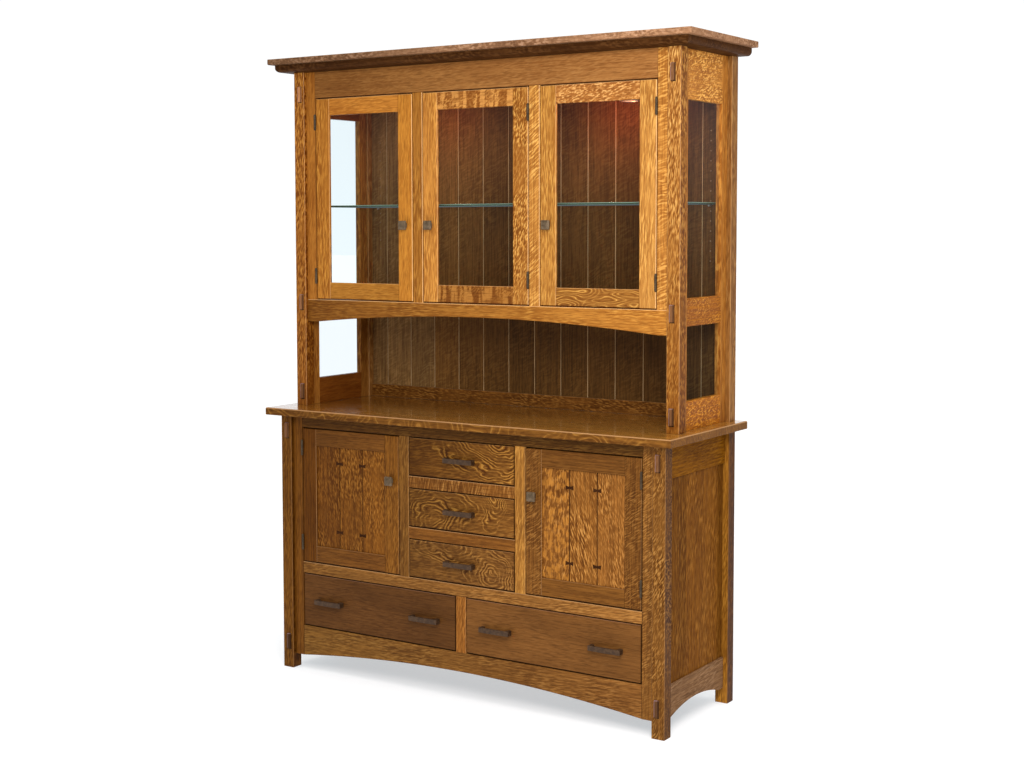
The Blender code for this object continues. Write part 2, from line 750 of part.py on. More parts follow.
def filling_corners(corners):
    """The corners of the pane or the panel that a door frame holds."""
    inset = DOOR_FRAME - GROOVE_DEPTH + SEAT
    (x0, z0), (x1, z1) = corners
    return (x0 + inset, z0 + inset), (x1 - inset, z1 - inset)


def door_pane(name, corners, face):
    low, high = filling_corners(corners)
    return piece(name, [plate("front", rectangle(low, high), face + PANE_LIP + SEAT, PANE)], "glass")


def butterfly_key(x, z, face):
    """A double-tailed key let into the panel across a joint, a hair proud of its face."""
    half, tall, waist = KEY_LENGTH / 2, KEY_HEIGHT / 2, KEY_WAIST / 2
    outline = [
        (x - half, z - tall),
        (x, z - waist),
        (x + half, z - tall),
        (x + half, z + tall),
        (x, z + waist),
        (x - half, z + tall),
    ]
    return plate("front", outline, face - KEY_PROUD, PANEL / 2)


def door_panel(name, corners, door_face):
    """Three boards side by side with V joints, tied by butterfly keys."""
    (x0, z0), (x1, z1) = filling_corners(corners)
    face = door_face + PANEL_SUNK
    middle, half = (x0 + x1) / 2, (x1 - x0) / 2
    sight = half - GROOVE_DEPTH
    joints = [sight * (2 * i / PANEL_BOARDS - 1) for i in range(1, PANEL_BOARDS)]
    outline = grooved_board(half, face, face + PANEL, middle, joints)
    heights = (z0 + GROOVE_DEPTH + KEY_FROM_RAIL, z1 - GROOVE_DEPTH - KEY_FROM_RAIL)
    keys = [butterfly_key(middle + joint, z, face) for joint in joints for z in heights]
    return piece(name, [plate("plan", outline, z0, z1 - z0), *keys], "dark_oak")


def knob(name, x, z, face):
    """A square knob: a foot, a thin neck, and a flared head with a low pyramid on its front."""
    half, reach = KNOB / 2, KNOB_REACH
    levels = [
        (half * 0.50, SEAT),
        (half * 0.50, reach * 0.10),
        (half * 0.34, reach * 0.16),
        (half * 0.34, reach * 0.42),
        (half * 0.86, reach * 0.54),
        (half, reach * 0.60),
        (half, reach * 0.80),
        (half * 0.88, reach * 0.88),
        (half * 0.10, reach),
    ]
    sections = []
    for size, out in levels:
        cut = size * 0.12
        ring = [
            (size - cut, -size),
            (size, cut - size),
            (size, size - cut),
            (size - cut, size),
            (cut - size, size),
            (-size, size - cut),
            (-size, cut - size),
            (cut - size, -size),
        ]
        sections.append([(x + u, face - out, z + v) for u, v in ring])
    return piece(name, [loft(sections)], "bronze")


def hinge(name, side, edge, face, z):
    """A butt hinge: its turned barrel before the face, and its leaf in the gap beside the door.

    side is 1 when the door lies to the right of its hinge, and edge is the opening's edge there.
    """
    axis_x, axis_y = hinge_axis(side, edge, face)
    low, knuckle = z - HINGE_LENGTH / 2, HINGE_LENGTH / KNUCKLES
    slit = HINGE_RADIUS / 10
    profile = [(HINGE_RADIUS / 2, low - HINGE_RADIUS / 2)]
    for i in range(KNUCKLES):
        start = low + i * knuckle
        profile += [(HINGE_RADIUS, start + slit), (HINGE_RADIUS, start + knuckle - slit)]
        if i < KNUCKLES - 1:
            profile.append((HINGE_RADIUS * 0.85, start + knuckle))
    profile.append((HINGE_RADIUS / 2, low + HINGE_LENGTH + HINGE_RADIUS / 2))
    leaf_edge = edge + side * SEAT
    left, right = sorted((leaf_edge, leaf_edge + side * HINGE_LEAF))
    leaf_low = (left, axis_y, low + slit)
    leaf_high = (right, face + HINGE_LEAF_DEPTH, low + HINGE_LENGTH - slit)
    return piece(name, [turned(profile, (axis_x, axis_y)), block(leaf_low, leaf_high)], "bronze")


def hinge_axis(side, edge, face):
    """The pin's line: before the middle of the gap, so that the barrel clears the face."""
    return edge + side * REVEAL_GAP / 2, face - HINGE_RADIUS - SEAT


def door(name, bay, hinge_side, low, high, face, glazed):
    """A door with its filling, knob and two hinges. hinge_side is 1 for a hinge on the left edge."""
    corners = door_corners(bay, low, high)
    frame = door_frame(f"{name}_frame", corners, face, glazed)
    if glazed:
        infill = door_pane(f"{name}_pane", corners, face)
        knob_z, hinge_inset = low + GLASS_KNOB_HEIGHT, GLASS_HINGE_INSET
    else:
        infill = door_panel(f"{name}_panel", corners, face)
        knob_z, hinge_inset = high - CUPBOARD_KNOB_DROP, CUPBOARD_HINGE_INSET
    free_edge = corners[1][0] if hinge_side > 0 else corners[0][0]
    handle = knob(f"{name}_knob", free_edge - hinge_side * DOOR_FRAME / 2, knob_z, face)
    edge = bay_edges(bay)[0] if hinge_side > 0 else bay_edges(bay)[1]
    hinge(f"{name}_hinge_upper", hinge_side, edge, face, high - hinge_inset)
    hinge(f"{name}_hinge_lower", hinge_side, edge, face, low + hinge_inset)
    axis_x, axis_y = hinge_axis(hinge_side, edge, face)
    moving_group(f"{name}_axis", (axis_x, axis_y, (low + high) / 2), [frame, infill, handle])


# Drawers


def pull(name, x, z, face):
    """A bar pull in plan: a slightly bowed bar on two square feet, eased all round."""
    half, back = PULL_LENGTH / 2, face - SEAT
    front = face - PULL_REACH + PULL_BOW
    bow = [(x + u, front - (v - front)) for u, v in arc(half, PULL_BOW, front, ARC_STEPS // 2)]
    inner = half - PULL_FOOT
    outline = [
        *bow,
        (x + half, back),
        (x + inner, back),
        (x + inner - PULL_BAR / 2, front + PULL_BAR),
        (x - inner + PULL_BAR / 2, front + PULL_BAR),
        (x - inner, back),
        (x - half, back),
    ]
    shape = plate("plan", outline, z - PULL_HEIGHT / 2, PULL_HEIGHT, ease=EASE / 2)
    return piece(name, [shape], "bronze")


def drawer(name, left, right, low, opening, pull_offsets):
    """An inset drawer: its front, jointed to a box with an open top and a floor set up between its sides."""
    face = BASE_FACE
    front_low = (left + REVEAL_GAP, face, low + REVEAL_GAP)
    front_high = (right - REVEAL_GAP, face + BOARD, low + opening - REVEAL_GAP)
    box_left, box_right = left + box_half_gap(), right - box_half_gap()
    bottom, top = low + SEAT, low + opening - DRAWER_SIDE_DROP
    back = face + DRAWER_LENGTH
    box = block((box_left, face + BOARD / 2, bottom), (box_right, back, top))
    inside_low = (box_left + DRAWER_SIDE, face + BOARD, bottom + DRAWER_FLOOR_UP + DRAWER_FLOOR)
    inside_high = (box_right - DRAWER_SIDE, back - DRAWER_SIDE, top + DRAWER_SIDE)
    under_low = (box_left + DRAWER_SIDE, face + BOARD, bottom - DRAWER_FLOOR)
    under_high = (box_right - DRAWER_SIDE, back - DRAWER_SIDE, bottom + DRAWER_FLOOR_UP)
    shapes = [box, block(front_low, front_high, ease=EASE)]
    cuts = [block(inside_low, inside_high), block(under_low, under_high)]
    members = [piece(name, shapes, "dark_oak", cuts=cuts)]
    middle = (left + right) / 2
    for label, offset in pull_offsets.items():
        members.append(pull(f"{name}_{label}", middle + offset, low + opening / 2, face))
    moving_group(f"{name}_slide", (middle, face, low + opening / 2), members)


def build():
    for side, label in ((-1, "left"), (1, "right")):
        base_end(side, f"base_end_{label}")
        hutch_end(side, f"hutch_end_{label}")
        partition(side, f"partition_{label}")
        for level in ("lower", "upper"):
            side_pane(side, level, f"side_glass_{level}_{label}")
    base_face_frame()
    base_deck("base_floor", APRON_TOP)
    base_deck("cupboard_floor", CUPBOARD_LOW)
    drawer_divider()
    base_back()
    worktop()
    hutch_face_frame()
    hutch_deck()
    hutch_ceiling()
    hutch_back()
    glass_shelf()
    cornice_moulding()
    cornice_cap()
    for bay, label, hinge_side in ((0, "left", 1), (1, "centre", -1), (2, "right", -1)):
        door(f"glass_door_{label}", bay, hinge_side, GLASS_DOOR_LOW, GLASS_DOOR_HIGH, HUTCH_FACE, True)
    for bay, label, hinge_side in ((0, "left", 1), (2, "right", -1)):
        door(f"cupboard_door_{label}", bay, hinge_side, CUPBOARD_LOW, CUPBOARD_HIGH, BASE_FACE, False)
    left, right = bay_edges(1)
    for label, low in zip(("top", "middle", "bottom"), drawer_lows()):
        drawer(f"drawer_{label}", left, right, low, DRAWER_OPENING, {"pull": 0.0})
    for side, label in ((-1, "left"), (1, "right")):
        left, right = wide_edges(side)
        offsets = {"pull_left": -WIDE_PULL_OFFSET, "pull_right": WIDE_PULL_OFFSET}
        drawer(f"wide_drawer_{label}", left, right, APRON_TOP, WIDE_DRAWER_OPENING, offsets)


clear_scene()
MATERIALS = {name: make_material(name) for name in COLOURS}
build()
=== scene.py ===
# %% [markdown]
# # A glazed hutch on a buffet base, in quarter-sawn oak
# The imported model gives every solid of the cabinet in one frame: metres, +Z up, the front facing -Y, and the
# origin on the floor. This file dresses that frame. Each frame, door and drawer is rebuilt board by board, so
# that the grain of every board can run its own way, and glass, bronze and hidden boards keep their solids.

import math

import bpy
import numpy as np
from mathutils import Euler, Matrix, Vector


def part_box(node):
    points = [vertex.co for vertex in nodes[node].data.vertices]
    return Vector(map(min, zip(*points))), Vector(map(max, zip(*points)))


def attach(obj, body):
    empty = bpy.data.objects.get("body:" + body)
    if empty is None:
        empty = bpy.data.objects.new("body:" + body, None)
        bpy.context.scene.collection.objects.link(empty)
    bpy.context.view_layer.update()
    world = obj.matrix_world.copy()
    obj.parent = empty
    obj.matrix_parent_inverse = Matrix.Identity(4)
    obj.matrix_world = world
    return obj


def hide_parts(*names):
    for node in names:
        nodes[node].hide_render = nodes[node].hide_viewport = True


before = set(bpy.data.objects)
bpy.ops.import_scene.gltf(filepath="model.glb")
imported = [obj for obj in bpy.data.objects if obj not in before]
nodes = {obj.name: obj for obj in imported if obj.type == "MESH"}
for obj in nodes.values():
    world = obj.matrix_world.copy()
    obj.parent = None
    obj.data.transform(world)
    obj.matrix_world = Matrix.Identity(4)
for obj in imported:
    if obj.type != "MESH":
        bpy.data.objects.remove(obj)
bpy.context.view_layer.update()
rng = np.random.default_rng(11)

# %% [markdown]
# ## The measures
# A joiner works from a rod: one board with every size marked on it. These are the sizes on the rod. Where a
# solid already holds a size, it is read from that solid, and the rest are written down once.

# %% Sizes of the members
BAY, MULLION, STILE, RAIL = 0.4147, 0.039, 0.040, 0.039
POST, POST_PROUD, BOARD, DOOR_FRAME = 0.0435, 0.0125, 0.020, 0.0575
SEAT, REVEAL = 0.0003, 0.003
DRAWER_OPENING, WIDE_OPENING, GLASS_OPENING = 0.1305, 0.185, 0.6945
APRON, ARCH_RAIL, END_SUNK = 0.1055, 0.077, 0.016
PLANK_THICK, BACK_SUNK = 0.012, 0.008

# %% Places read from the solids
worktop_low, worktop_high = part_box("worktop")
base_frame_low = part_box("base_face_frame")[0]
hutch_frame_low, hutch_frame_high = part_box("hutch_face_frame")
base_end_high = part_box("base_end_right")[1]
hutch_end_low, hutch_end_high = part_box("hutch_end_right")

CASE_HALF, CASE_BACK = base_end_high.x, base_end_high.y
POSTS_INSIDE = CASE_HALF - POST
FRAME_HALF = POSTS_INSIDE - SEAT
OPENINGS_HALF = POSTS_INSIDE - STILE
END_OUTSIDE = CASE_HALF - END_SUNK
END_INSIDE = END_OUTSIDE - BOARD
BASE_FACE, HUTCH_FACE = base_frame_low.y, hutch_frame_low.y
BASE_FRONT, HUTCH_FRONT = BASE_FACE - POST_PROUD, HUTCH_FACE - POST_PROUD
LEG_CLEARANCE, ARCH_RAIL_LOW = base_frame_low.z, hutch_frame_low.z
APRON_TOP = LEG_CLEARANCE + APRON
MID_RAIL_LOW = APRON_TOP + WIDE_OPENING
CUPBOARD_LOW = MID_RAIL_LOW + RAIL
CUPBOARD_HIGH = CUPBOARD_LOW + 3 * DRAWER_OPENING + 2 * RAIL
GLASS_DOOR_LOW = ARCH_RAIL_LOW + ARCH_RAIL
GLASS_DOOR_HIGH = GLASS_DOOR_LOW + GLASS_OPENING
FRIEZE_TOP = hutch_frame_high.z
HUTCH_LOW, HUTCH_HIGH = hutch_end_low.z, hutch_end_high.z
PLANKS_BACK = CASE_BACK - BACK_SUNK
PLANKS_FRONT = PLANKS_BACK - PLANK_THICK
PLUG_X = END_OUTSIDE - BOARD / 2
print(f"posts {1000 * CASE_HALF:.1f} mm from the middle, bays between +-{1000 * OPENINGS_HALF:.1f} mm")


def bay_edges(bay):
    """The left and right edge of a bay's opening: bays lie a bay and a mullion apart."""
    left = -OPENINGS_HALF + bay * (BAY + MULLION)
    return left, left + BAY


# %% [markdown]
# ## The camera
# The cabinet was photographed from its right, at about eye height, with a rather long lens. The camera was
# placed by fitting the corners of the cabinet, and its shift holds the crop of the picture.

# %% Camera
camera = bpy.data.objects.new("camera", bpy.data.cameras.new("camera"))
bpy.context.scene.collection.objects.link(camera)
bpy.context.scene.camera = camera
yaw, pitch, roll = np.radians((33.7355, -3.9105, -0.1514))
turn = Euler((0, 0, yaw)).to_matrix() @ Euler((math.pi / 2 + pitch, 0, 0)).to_matrix()
camera.matrix_world = (turn @ Euler((0, 0, roll)).to_matrix()).to_4x4()
camera.location = (2.8675, BASE_FRONT - 4.1759, 1.5430)
camera.data.lens, camera.data.sensor_width = 55.74, 36.0
camera.data.shift_x, camera.data.shift_y = 0.0331, -0.0495
camera.data.clip_start, camera.data.clip_end = 0.05, 200.0
print("camera at", [round(value, 3) for value in camera.location])

# %% [markdown]
# ## Wires
# A surface's finish is a tree of nodes. Writing a tree link by link hides the sum behind it, so a small class
# wraps a socket and lets Python's own operators add the Math nodes, and one method makes any other node. The
# room behind the cabinet is such a tree too, so both are made by the same class.

# %% Wires and trees


class Wire:
    """A socket of a tree. Arithmetic on it adds Math nodes and gives the wire that comes out."""

    def __init__(self, tree, socket):
        self.tree, self.socket = tree, socket

    def math(self, operation, *others):
        return self.tree.node("ShaderNodeMath", {"operation": operation}, dict(enumerate((self, *others))))

    def __add__(self, other):
        return self.math("ADD", other)

    def __sub__(self, other):
        return self.math("SUBTRACT", other)

    def __mul__(self, other):
        return self.math("MULTIPLY", other)

    def __rsub__(self, other):
        return self.tree.node("ShaderNodeMath", {"operation": "SUBTRACT"}, {0: other, 1: self})

    __radd__, __rmul__ = __add__, __mul__

    def between(self, low, high, start=0.0, end=1.0):
        """start where the wire is at low, end where it is at high, and a smooth step between."""
        sockets = {"Value": self, "From Min": low, "From Max": high, "To Min": start, "To Max": end}
        return self.tree.node("ShaderNodeMapRange", {"interpolation_type": "SMOOTHSTEP"}, sockets)

    def near(self, middle, reach):
        """1 at middle, falling to 0 at that reach from it."""
        return (self - middle).math("ABSOLUTE").between(0.0, reach, 1.0, 0.0)


class Tree:
    """The nodes of a finish or of the room."""

    def __init__(self, owner):
        owner.use_nodes = True
        self.owner, self.nodes, self.links = owner, owner.node_tree.nodes, owner.node_tree.links

    def node(self, kind, settings=None, inputs=None, output=0):
        """Adds a node, makes its settings, then sets or links its sockets, and gives one of its outputs."""
        made = self.nodes.new(kind)
        for key, value in (settings or {}).items():
            setattr(made, key, value)
        for key, value in (inputs or {}).items():
            self.feed(made.inputs[key], value)
        return Wire(self, made.outputs[output])

    def feed(self, socket, value):
        if isinstance(value, Wire):
            self.links.new(value.socket, socket)
        else:
            socket.default_value = value

    def vector(self, operation, *vectors, output=0):
        return self.node("ShaderNodeVectorMath", {"operation": operation}, dict(enumerate(vectors)), output)

    def part(self, vector, axis):
        return self.node("ShaderNodeSeparateXYZ", {}, {0: vector}, axis)

    def join(self, *parts):
        return self.node("ShaderNodeCombineXYZ", {}, dict(enumerate(parts)))

    def place(self):
        """The place of a point of the surface, in the metres of the frame."""
        return self.node("ShaderNodeTexCoord", output="Object")

    def attribute(self, name, output):
        return self.node("ShaderNodeAttribute", {"attribute_name": name}, output=output)

    def mix(self, share, under, over, blend="MIX"):
        """Colour under, covered by colour over in the given share."""
        settings = {"data_type": "RGBA", "blend_type": blend}
        return self.node("ShaderNodeMix", settings, {0: share, 6: under, 7: over}, output=2)

    def mapped(self, vector, place, turn, scale):
        """The vector seen from a frame at place, turned by that angle and with axes as long as scale says."""
        sockets = {0: vector, "Location": place, "Rotation": (0.0, 0.0, turn), "Scale": scale}
        return self.node("ShaderNodeMapping", {"vector_type": "TEXTURE"}, sockets)

    def noise(self, vector, waves, detail=2.0, output=0):
        """Noise of that many waves a metre along the grain, across it and through the board."""
        inputs = {"Vector": self.vector("MULTIPLY", vector, waves), "Scale": 1.0, "Detail": detail}
        return self.node("ShaderNodeTexNoise", {}, inputs, output)

    def swayed(self, vector, waves, detail, reach):
        """The vector, moved along each axis by reach times noise that runs from -0.5 to 0.5."""
        sway = self.vector("SUBTRACT", self.noise(vector, waves, detail, output=1), (0.5,) * 3)
        return self.vector("ADD", vector, self.vector("MULTIPLY", sway, reach))

    def bump(self, strength, distance, height):
        return self.node("ShaderNodeBump", {}, {"Strength": strength, "Distance": distance, "Height": height})


class Finish(Tree):
    """A material under its maker's name, with its Principled shader."""

    def __init__(self, name):
        super().__init__(bpy.data.materials.new(name))
        self.shader = self.nodes["Principled BSDF"]

    def wear(self, **sockets):
        """Feeds the shader's sockets, named with underscores for their spaces, and gives the material."""
        for key, value in sockets.items():
            self.feed(self.shader.inputs[key.replace("_", " ")], value)
        return self.owner

    def show(self, shader):
        """Puts another shader in the place of the Principled one."""
        self.links.new(shader.socket, self.nodes["Material Output"].inputs["Surface"])
        return self.owner


def stain(red, green_and_highlight, blue):
    """A colour as a paint card gives it, from 0 to 255, turned to the linear light that shaders use."""
    shares = np.array((red, green_and_highlight, blue)) / 255.0
    linear = np.where(shares <= 0.04045, shares / 12.92, ((shares + 0.055) / 1.055) ** 2.4)
    return (*linear.tolist(), 1.0)


def toned(colour, *factors):
    """A colour times a factor for each of red, green and blue, at most 1."""
    return (*np.minimum(1.0, np.array(colour[:3]) * factors).tolist(), 1.0)


# %% [markdown]
# ## The floor and the light
# A broad lamp in front and to the right lights the cabinet, with a wide sun overhead and a white room around,
# as in a shop's studio. The room gives most of its light from behind the cabinet, but the camera sees it
# equally white on every side. The floor glows a little, as a light table does, which keeps the shadow under
# the base pale.

# %% Floor, room and lamps
FLOOR_HALF = 60
corners = [(-FLOOR_HALF, -FLOOR_HALF, 0), (FLOOR_HALF, -FLOOR_HALF, 0), (FLOOR_HALF, FLOOR_HALF, 0),
           (-FLOOR_HALF, FLOOR_HALF, 0)]
floor = bpy.data.objects.new("floor", bpy.data.meshes.new("floor"))
floor.data.from_pydata(corners, [], [(0, 1, 2, 3)])
bpy.context.scene.collection.objects.link(floor)
white = Finish("white_floor").wear(Base_Color=(0.53, 0.49, 0.47, 1.0), Roughness=0.9, Emission_Strength=0.54,
                                   Emission_Color=(0.86, 0.95, 1.0, 1.0))
white.cycles.emission_sampling = "NONE"
floor.data.materials.append(white)

bpy.context.scene.world = bpy.data.worlds.new("white_room")
room = Tree(bpy.context.scene.world)
backdrop = Vector((-0.555, 0.831, 0.0))
facing = room.vector("DOT_PRODUCT", room.node("ShaderNodeTexCoord"), backdrop, output=1)
light = facing.between(0.35, 0.86, 0.42, 1.14)
seen = room.node("ShaderNodeLightPath", output="Is Camera Ray")
room.feed(room.nodes["Background"].inputs["Color"], (0.97, 0.985, 1.0, 1.0))
room.feed(room.nodes["Background"].inputs["Strength"], light * (1.0 - seen) + seen * 1.05)


def aimed(name, kind, place, aim, energy, colour=(1.0, 1.0, 1.0), **settings):
    """A lamp of that kind, turned so that it looks from place at aim, and itself unseen."""
    lamp = bpy.data.objects.new(name, bpy.data.lights.new(name, kind))
    lamp.data.energy, lamp.data.color = energy, colour
    for key, value in settings.items():
        setattr(lamp.data, key, value)
    lamp.location, lamp.visible_camera = place, False
    lamp.rotation_euler = (Vector(aim) - Vector(place)).to_track_quat("-Z", "Y").to_euler()
    bpy.context.scene.collection.objects.link(lamp)
    print(name, "of", energy)


aimed("key_lamp", "AREA", (1.9, -2.5, 2.3), (0.2, 0.0, 1.6), 76.0, size=1.2)
aimed("roof_light", "SUN", (0.25, -0.3, 2.0), (0.0, 0.0, 0.0), 2.2, angle=math.radians(60.0))
bpy.context.scene.view_settings.view_transform = "Standard"

# %% [markdown]
# ## Quarter-sawn oak
# Oak sawn along its rays shows them as fleck: pale wriggling flakes that run across the grain. Sawn the other
# way it shows the year rings as swirls. Each board here carries its own coordinates, the attribute grain:
# metres along the grain, across the board and through it, each from a chance start so that no two boards
# match. Noise stretched along the grain makes streaks and pores. The level lines of noise stretched across it
# make the rays, each pale with a dark side where the stain sank in. A picture of wood would repeat; this
# doesn't.
#
# A figure of the wood is a list of layers. Each layer is its share of the surface, the stain that it starts
# from, and the factors that the stain is multiplied by.

# %% Rays and rings


def rays(f, grain, wander, fleck, angle, length, width, bright):
    """The fleck: dark beside each ray, pale in it, palest in its heart. Gives its layers and its relief."""
    stroke = f.mapped(wander, (0.0, 0.0, 0.0), math.radians(angle), (length, width, 0.008))
    level = f.node("ShaderNodeTexNoise", {}, {"Vector": stroke, "Scale": 1.0, "Detail": 1.5})
    amount = f.noise(grain, (7.0, 12.0, 14.0), 1.5).between(0.38, 0.58, 0.35, 1.0) * fleck
    layers = [
        (level.between(0.49, 0.43) * amount, "deep", (0.66, 0.57, 0.46)),
        (level.between(0.51, 0.56) * amount * 0.85, "pale", (1.2, 1.28, 1.3)),
        (level.between(0.57, 0.62) * amount * bright, "pale", (1.85, 2.35, 3.6)),
    ]
    return layers, level.between(0.51, 0.58) * amount


def cross_bands(f, grain, wander, bands):
    """Broad pale bands right across the board, each beside a dark one."""
    broad = f.noise(wander, (52.0, 6.0, 12.0), 2.5)
    here = f.noise(grain, (12.0, 30.0, 30.0), 1.0).between(0.38, 0.52, 0.25, 1.0) * bands
    return [
        (broad.between(0.50, 0.45) * here * 0.8, "deep", (0.8, 0.7, 0.55)),
        (broad.between(0.51, 0.56) * here, "pale", (1.35, 1.5, 1.8)),
    ]


def year_rings(f, grain, wander, swirl, rings, figure):
    """Lines where a level passes each whole number. Gives their layers, and the relief with theirs added.

    The level is noise, or else the distance from the middle of each oval in rings, seen from a place that
    noise sways. What is left of the level after its whole part is the phase: a line is dark about 0.8, pale
    about 0.45, and palest about 0.3.
    """
    broken = f.noise(grain, (14.0, 26.0, 17.0), 3.0).between(0.40, 0.60)
    lines = []
    if not rings:
        lines.append((f.noise(wander, (6.0, 24.0, 6.0), 1.0) * 16.0, broken.between(0.0, 1.0, 0.4, 1.0)))
    bent = f.swayed(grain, (6.5, 11.0, 10.0), 3.5, (0.17, 0.12, 0.0))
    for u, v, wide, high, tilt, count, reach in rings:
        oval = f.vector("MULTIPLY", f.mapped(bent, (u, v, 0.0), tilt, (wide, high, 1.0)), (1.0, 1.0, 0.0))
        level = f.vector("LENGTH", oval, output=1) * count
        lines.append((level, broken.between(0.0, 1.0, 0.12, 1.0) * level.between(reach, reach - 2.5)))
    layers = []
    for level, shown in lines:
        phase = level.math("FRACT")
        heart = phase.near(0.3, 0.15) * shown
        layers += [
            (phase.near(0.8, 0.3) * shown * (0.45 * swirl), "deep", (0.7, 0.6, 0.5)),
            (phase.near(0.45, 0.3) * shown * (0.3 * swirl), "pale", (1.2, 1.2, 0.95)),
            (heart * (0.9 * swirl), "pale", (1.6, 1.9, 2.2)),
        ]
        figure = figure + heart * swirl
    return layers, figure


def flaked(f, wander, flakes):
    """Blotches a little longer than they are wide, pale beside dark."""
    blot = f.noise(wander, (44.0, 70.0, 40.0), 4.0)
    return [
        (blot.between(0.48, 0.43) * (0.8 * flakes), "deep", (0.75, 0.65, 0.45)),
        (blot.between(0.51, 0.55) * flakes, "pale", (1.55, 1.65, 1.4)),
    ]


# %% The oak finish


def oak(name, pale, deep, fleck=0.3, angle=8.0, length=0.026, width=0.0042, wriggle=0.008, bright=0.3,
        bands=0.0, rings=(), swirl=0.0, flakes=0.0, strips=0.0, streaks=1.0, sheen=0.42, gloss=0.06, coat=0.0,
        axes=None):
    """Stained and lacquered oak.

    The fleck is strokes of that length and width in metres, at an angle in degrees from the grain, which
    wander by wriggle. fleck says how much of it shows, and bright how pale its hearts are. bands, swirl and
    flakes are the amounts of the broader figures. Each of rings is (u, v, width, height, tilt, count, reach):
    ovals about (u, v), with count lines in that width, which fade out over the last of reach lines. strips is
    the width of the glued strips of a wide board. axes names the world axes along, across and through a board
    that has no grain of its own.
    """
    f = Finish(name)
    grain = f.join(*(f.part(f.place(), axis) for axis in axes)) if axes else f.attribute("grain", "Vector")
    if strips:
        number = (f.part(grain, 1) * (1.0 / strips)).math("FLOOR")
        chance = f.node("ShaderNodeTexWhiteNoise", {"noise_dimensions": "1D"}, {"W": number})
        grain = f.vector("ADD", grain, f.join(chance * 9.0, 0.0, chance * 5.0))

    streak = f.noise(grain, (4.0, 190.0, 120.0), 3.0).between(0.34, 0.66)
    cloud = f.noise(grain, (3.5, 11.0, 9.0), 2.0).between(0.3, 0.7)
    pores = f.noise(grain, (26.0, 330.0, 330.0), 1.0).between(0.52, 0.66)
    wander = f.swayed(grain, (22.0, 26.0, 30.0), 1.0, (wriggle,) * 3)
    layers, figure = rays(f, grain, wander, fleck, angle, length, width, bright)
    if bands:
        layers += cross_bands(f, grain, wander, bands)
    if swirl:
        lines, figure = year_rings(f, grain, wander, swirl, rings, figure)
        layers += lines
    if flakes:
        layers += flaked(f, wander, flakes)
    layers.append((pores * 0.45, "deep", (0.55, 0.5, 0.45)))

    stains = {"pale": pale, "deep": deep}
    colour = f.mix(streak * (0.55 * streaks) + cloud * (0.6 - 0.35 * streaks) + 0.1, deep, pale)
    for share, base, factors in layers:
        colour = f.mix(share, colour, toned(stains[base], *factors))
    # On free edges, a painted highlight where the edge attribute below is above 0 and a painted shade line
    # where it is below 0. The tone attribute multiplies in each board's stain together with painted light.
    if not axes:
        painted_edge_light = f.attribute("painted_edge_light", "Fac")
        colour = f.mix(1.0, colour, f.attribute("stain_and_light", "Color"), "MULTIPLY")
        colour = f.mix(painted_edge_light, colour, toned(pale, 1.5, 2.2, 6.0))
        colour = f.mix(painted_edge_light * -1.0, colour, toned(deep, 0.16, 0.13, 0.12))
    if strips:
        tone = chance * 0.36 + 0.82
        colour = f.mix(1.0, colour, f.join(tone, tone, tone), "MULTIPLY")
    return f.wear(Base_Color=colour, Roughness=streak * 0.12 - figure * 0.08 + sheen,
                  Normal=f.bump(0.15, 0.0005, figure * 0.5 - pores), Specular_IOR_Level=gloss,
                  Coat_Weight=coat, Coat_Roughness=0.12)


# %% The stains
# The base's brown and dusk stains are darker than the hutch's honey ones partly as their own colour and partly
# as painted shade on the base.
HONEY, HONEY_DEEP = stain(202, 132, 54), stain(150, 86, 28)
BROWN, BROWN_DEEP = stain(150, 94, 36), stain(98, 56, 17)
DUSK, DUSK_DEEP = stain(122, 77, 38), stain(88, 53, 23)
BACK, BACK_DEEP = stain(110, 74, 36), stain(72, 46, 21)

FAN = [(0.17, 0.11, 0.27, 0.165, 0.0, 15.0, 16.5)]
OVALS = [(-0.106, -0.025, 0.20, 0.12, 0.3, 10.0, 10.0), (0.125, 0.13, 0.060, 0.17, 0.0, 8.0, 9.5)]
EYE = [(0.123, -0.015, 0.13, 0.10, -0.7, 8.0, 8.0), (-0.04, 0.06, 0.20, 0.08, 0.0, 8.0, 7.0)]


def honey(name, **figure):
    return oak(f"oak_honey_{name}", HONEY, HONEY_DEEP, **figure)


def brown(name, **figure):
    return oak(f"oak_brown_{name}", BROWN, BROWN_DEEP, **figure)


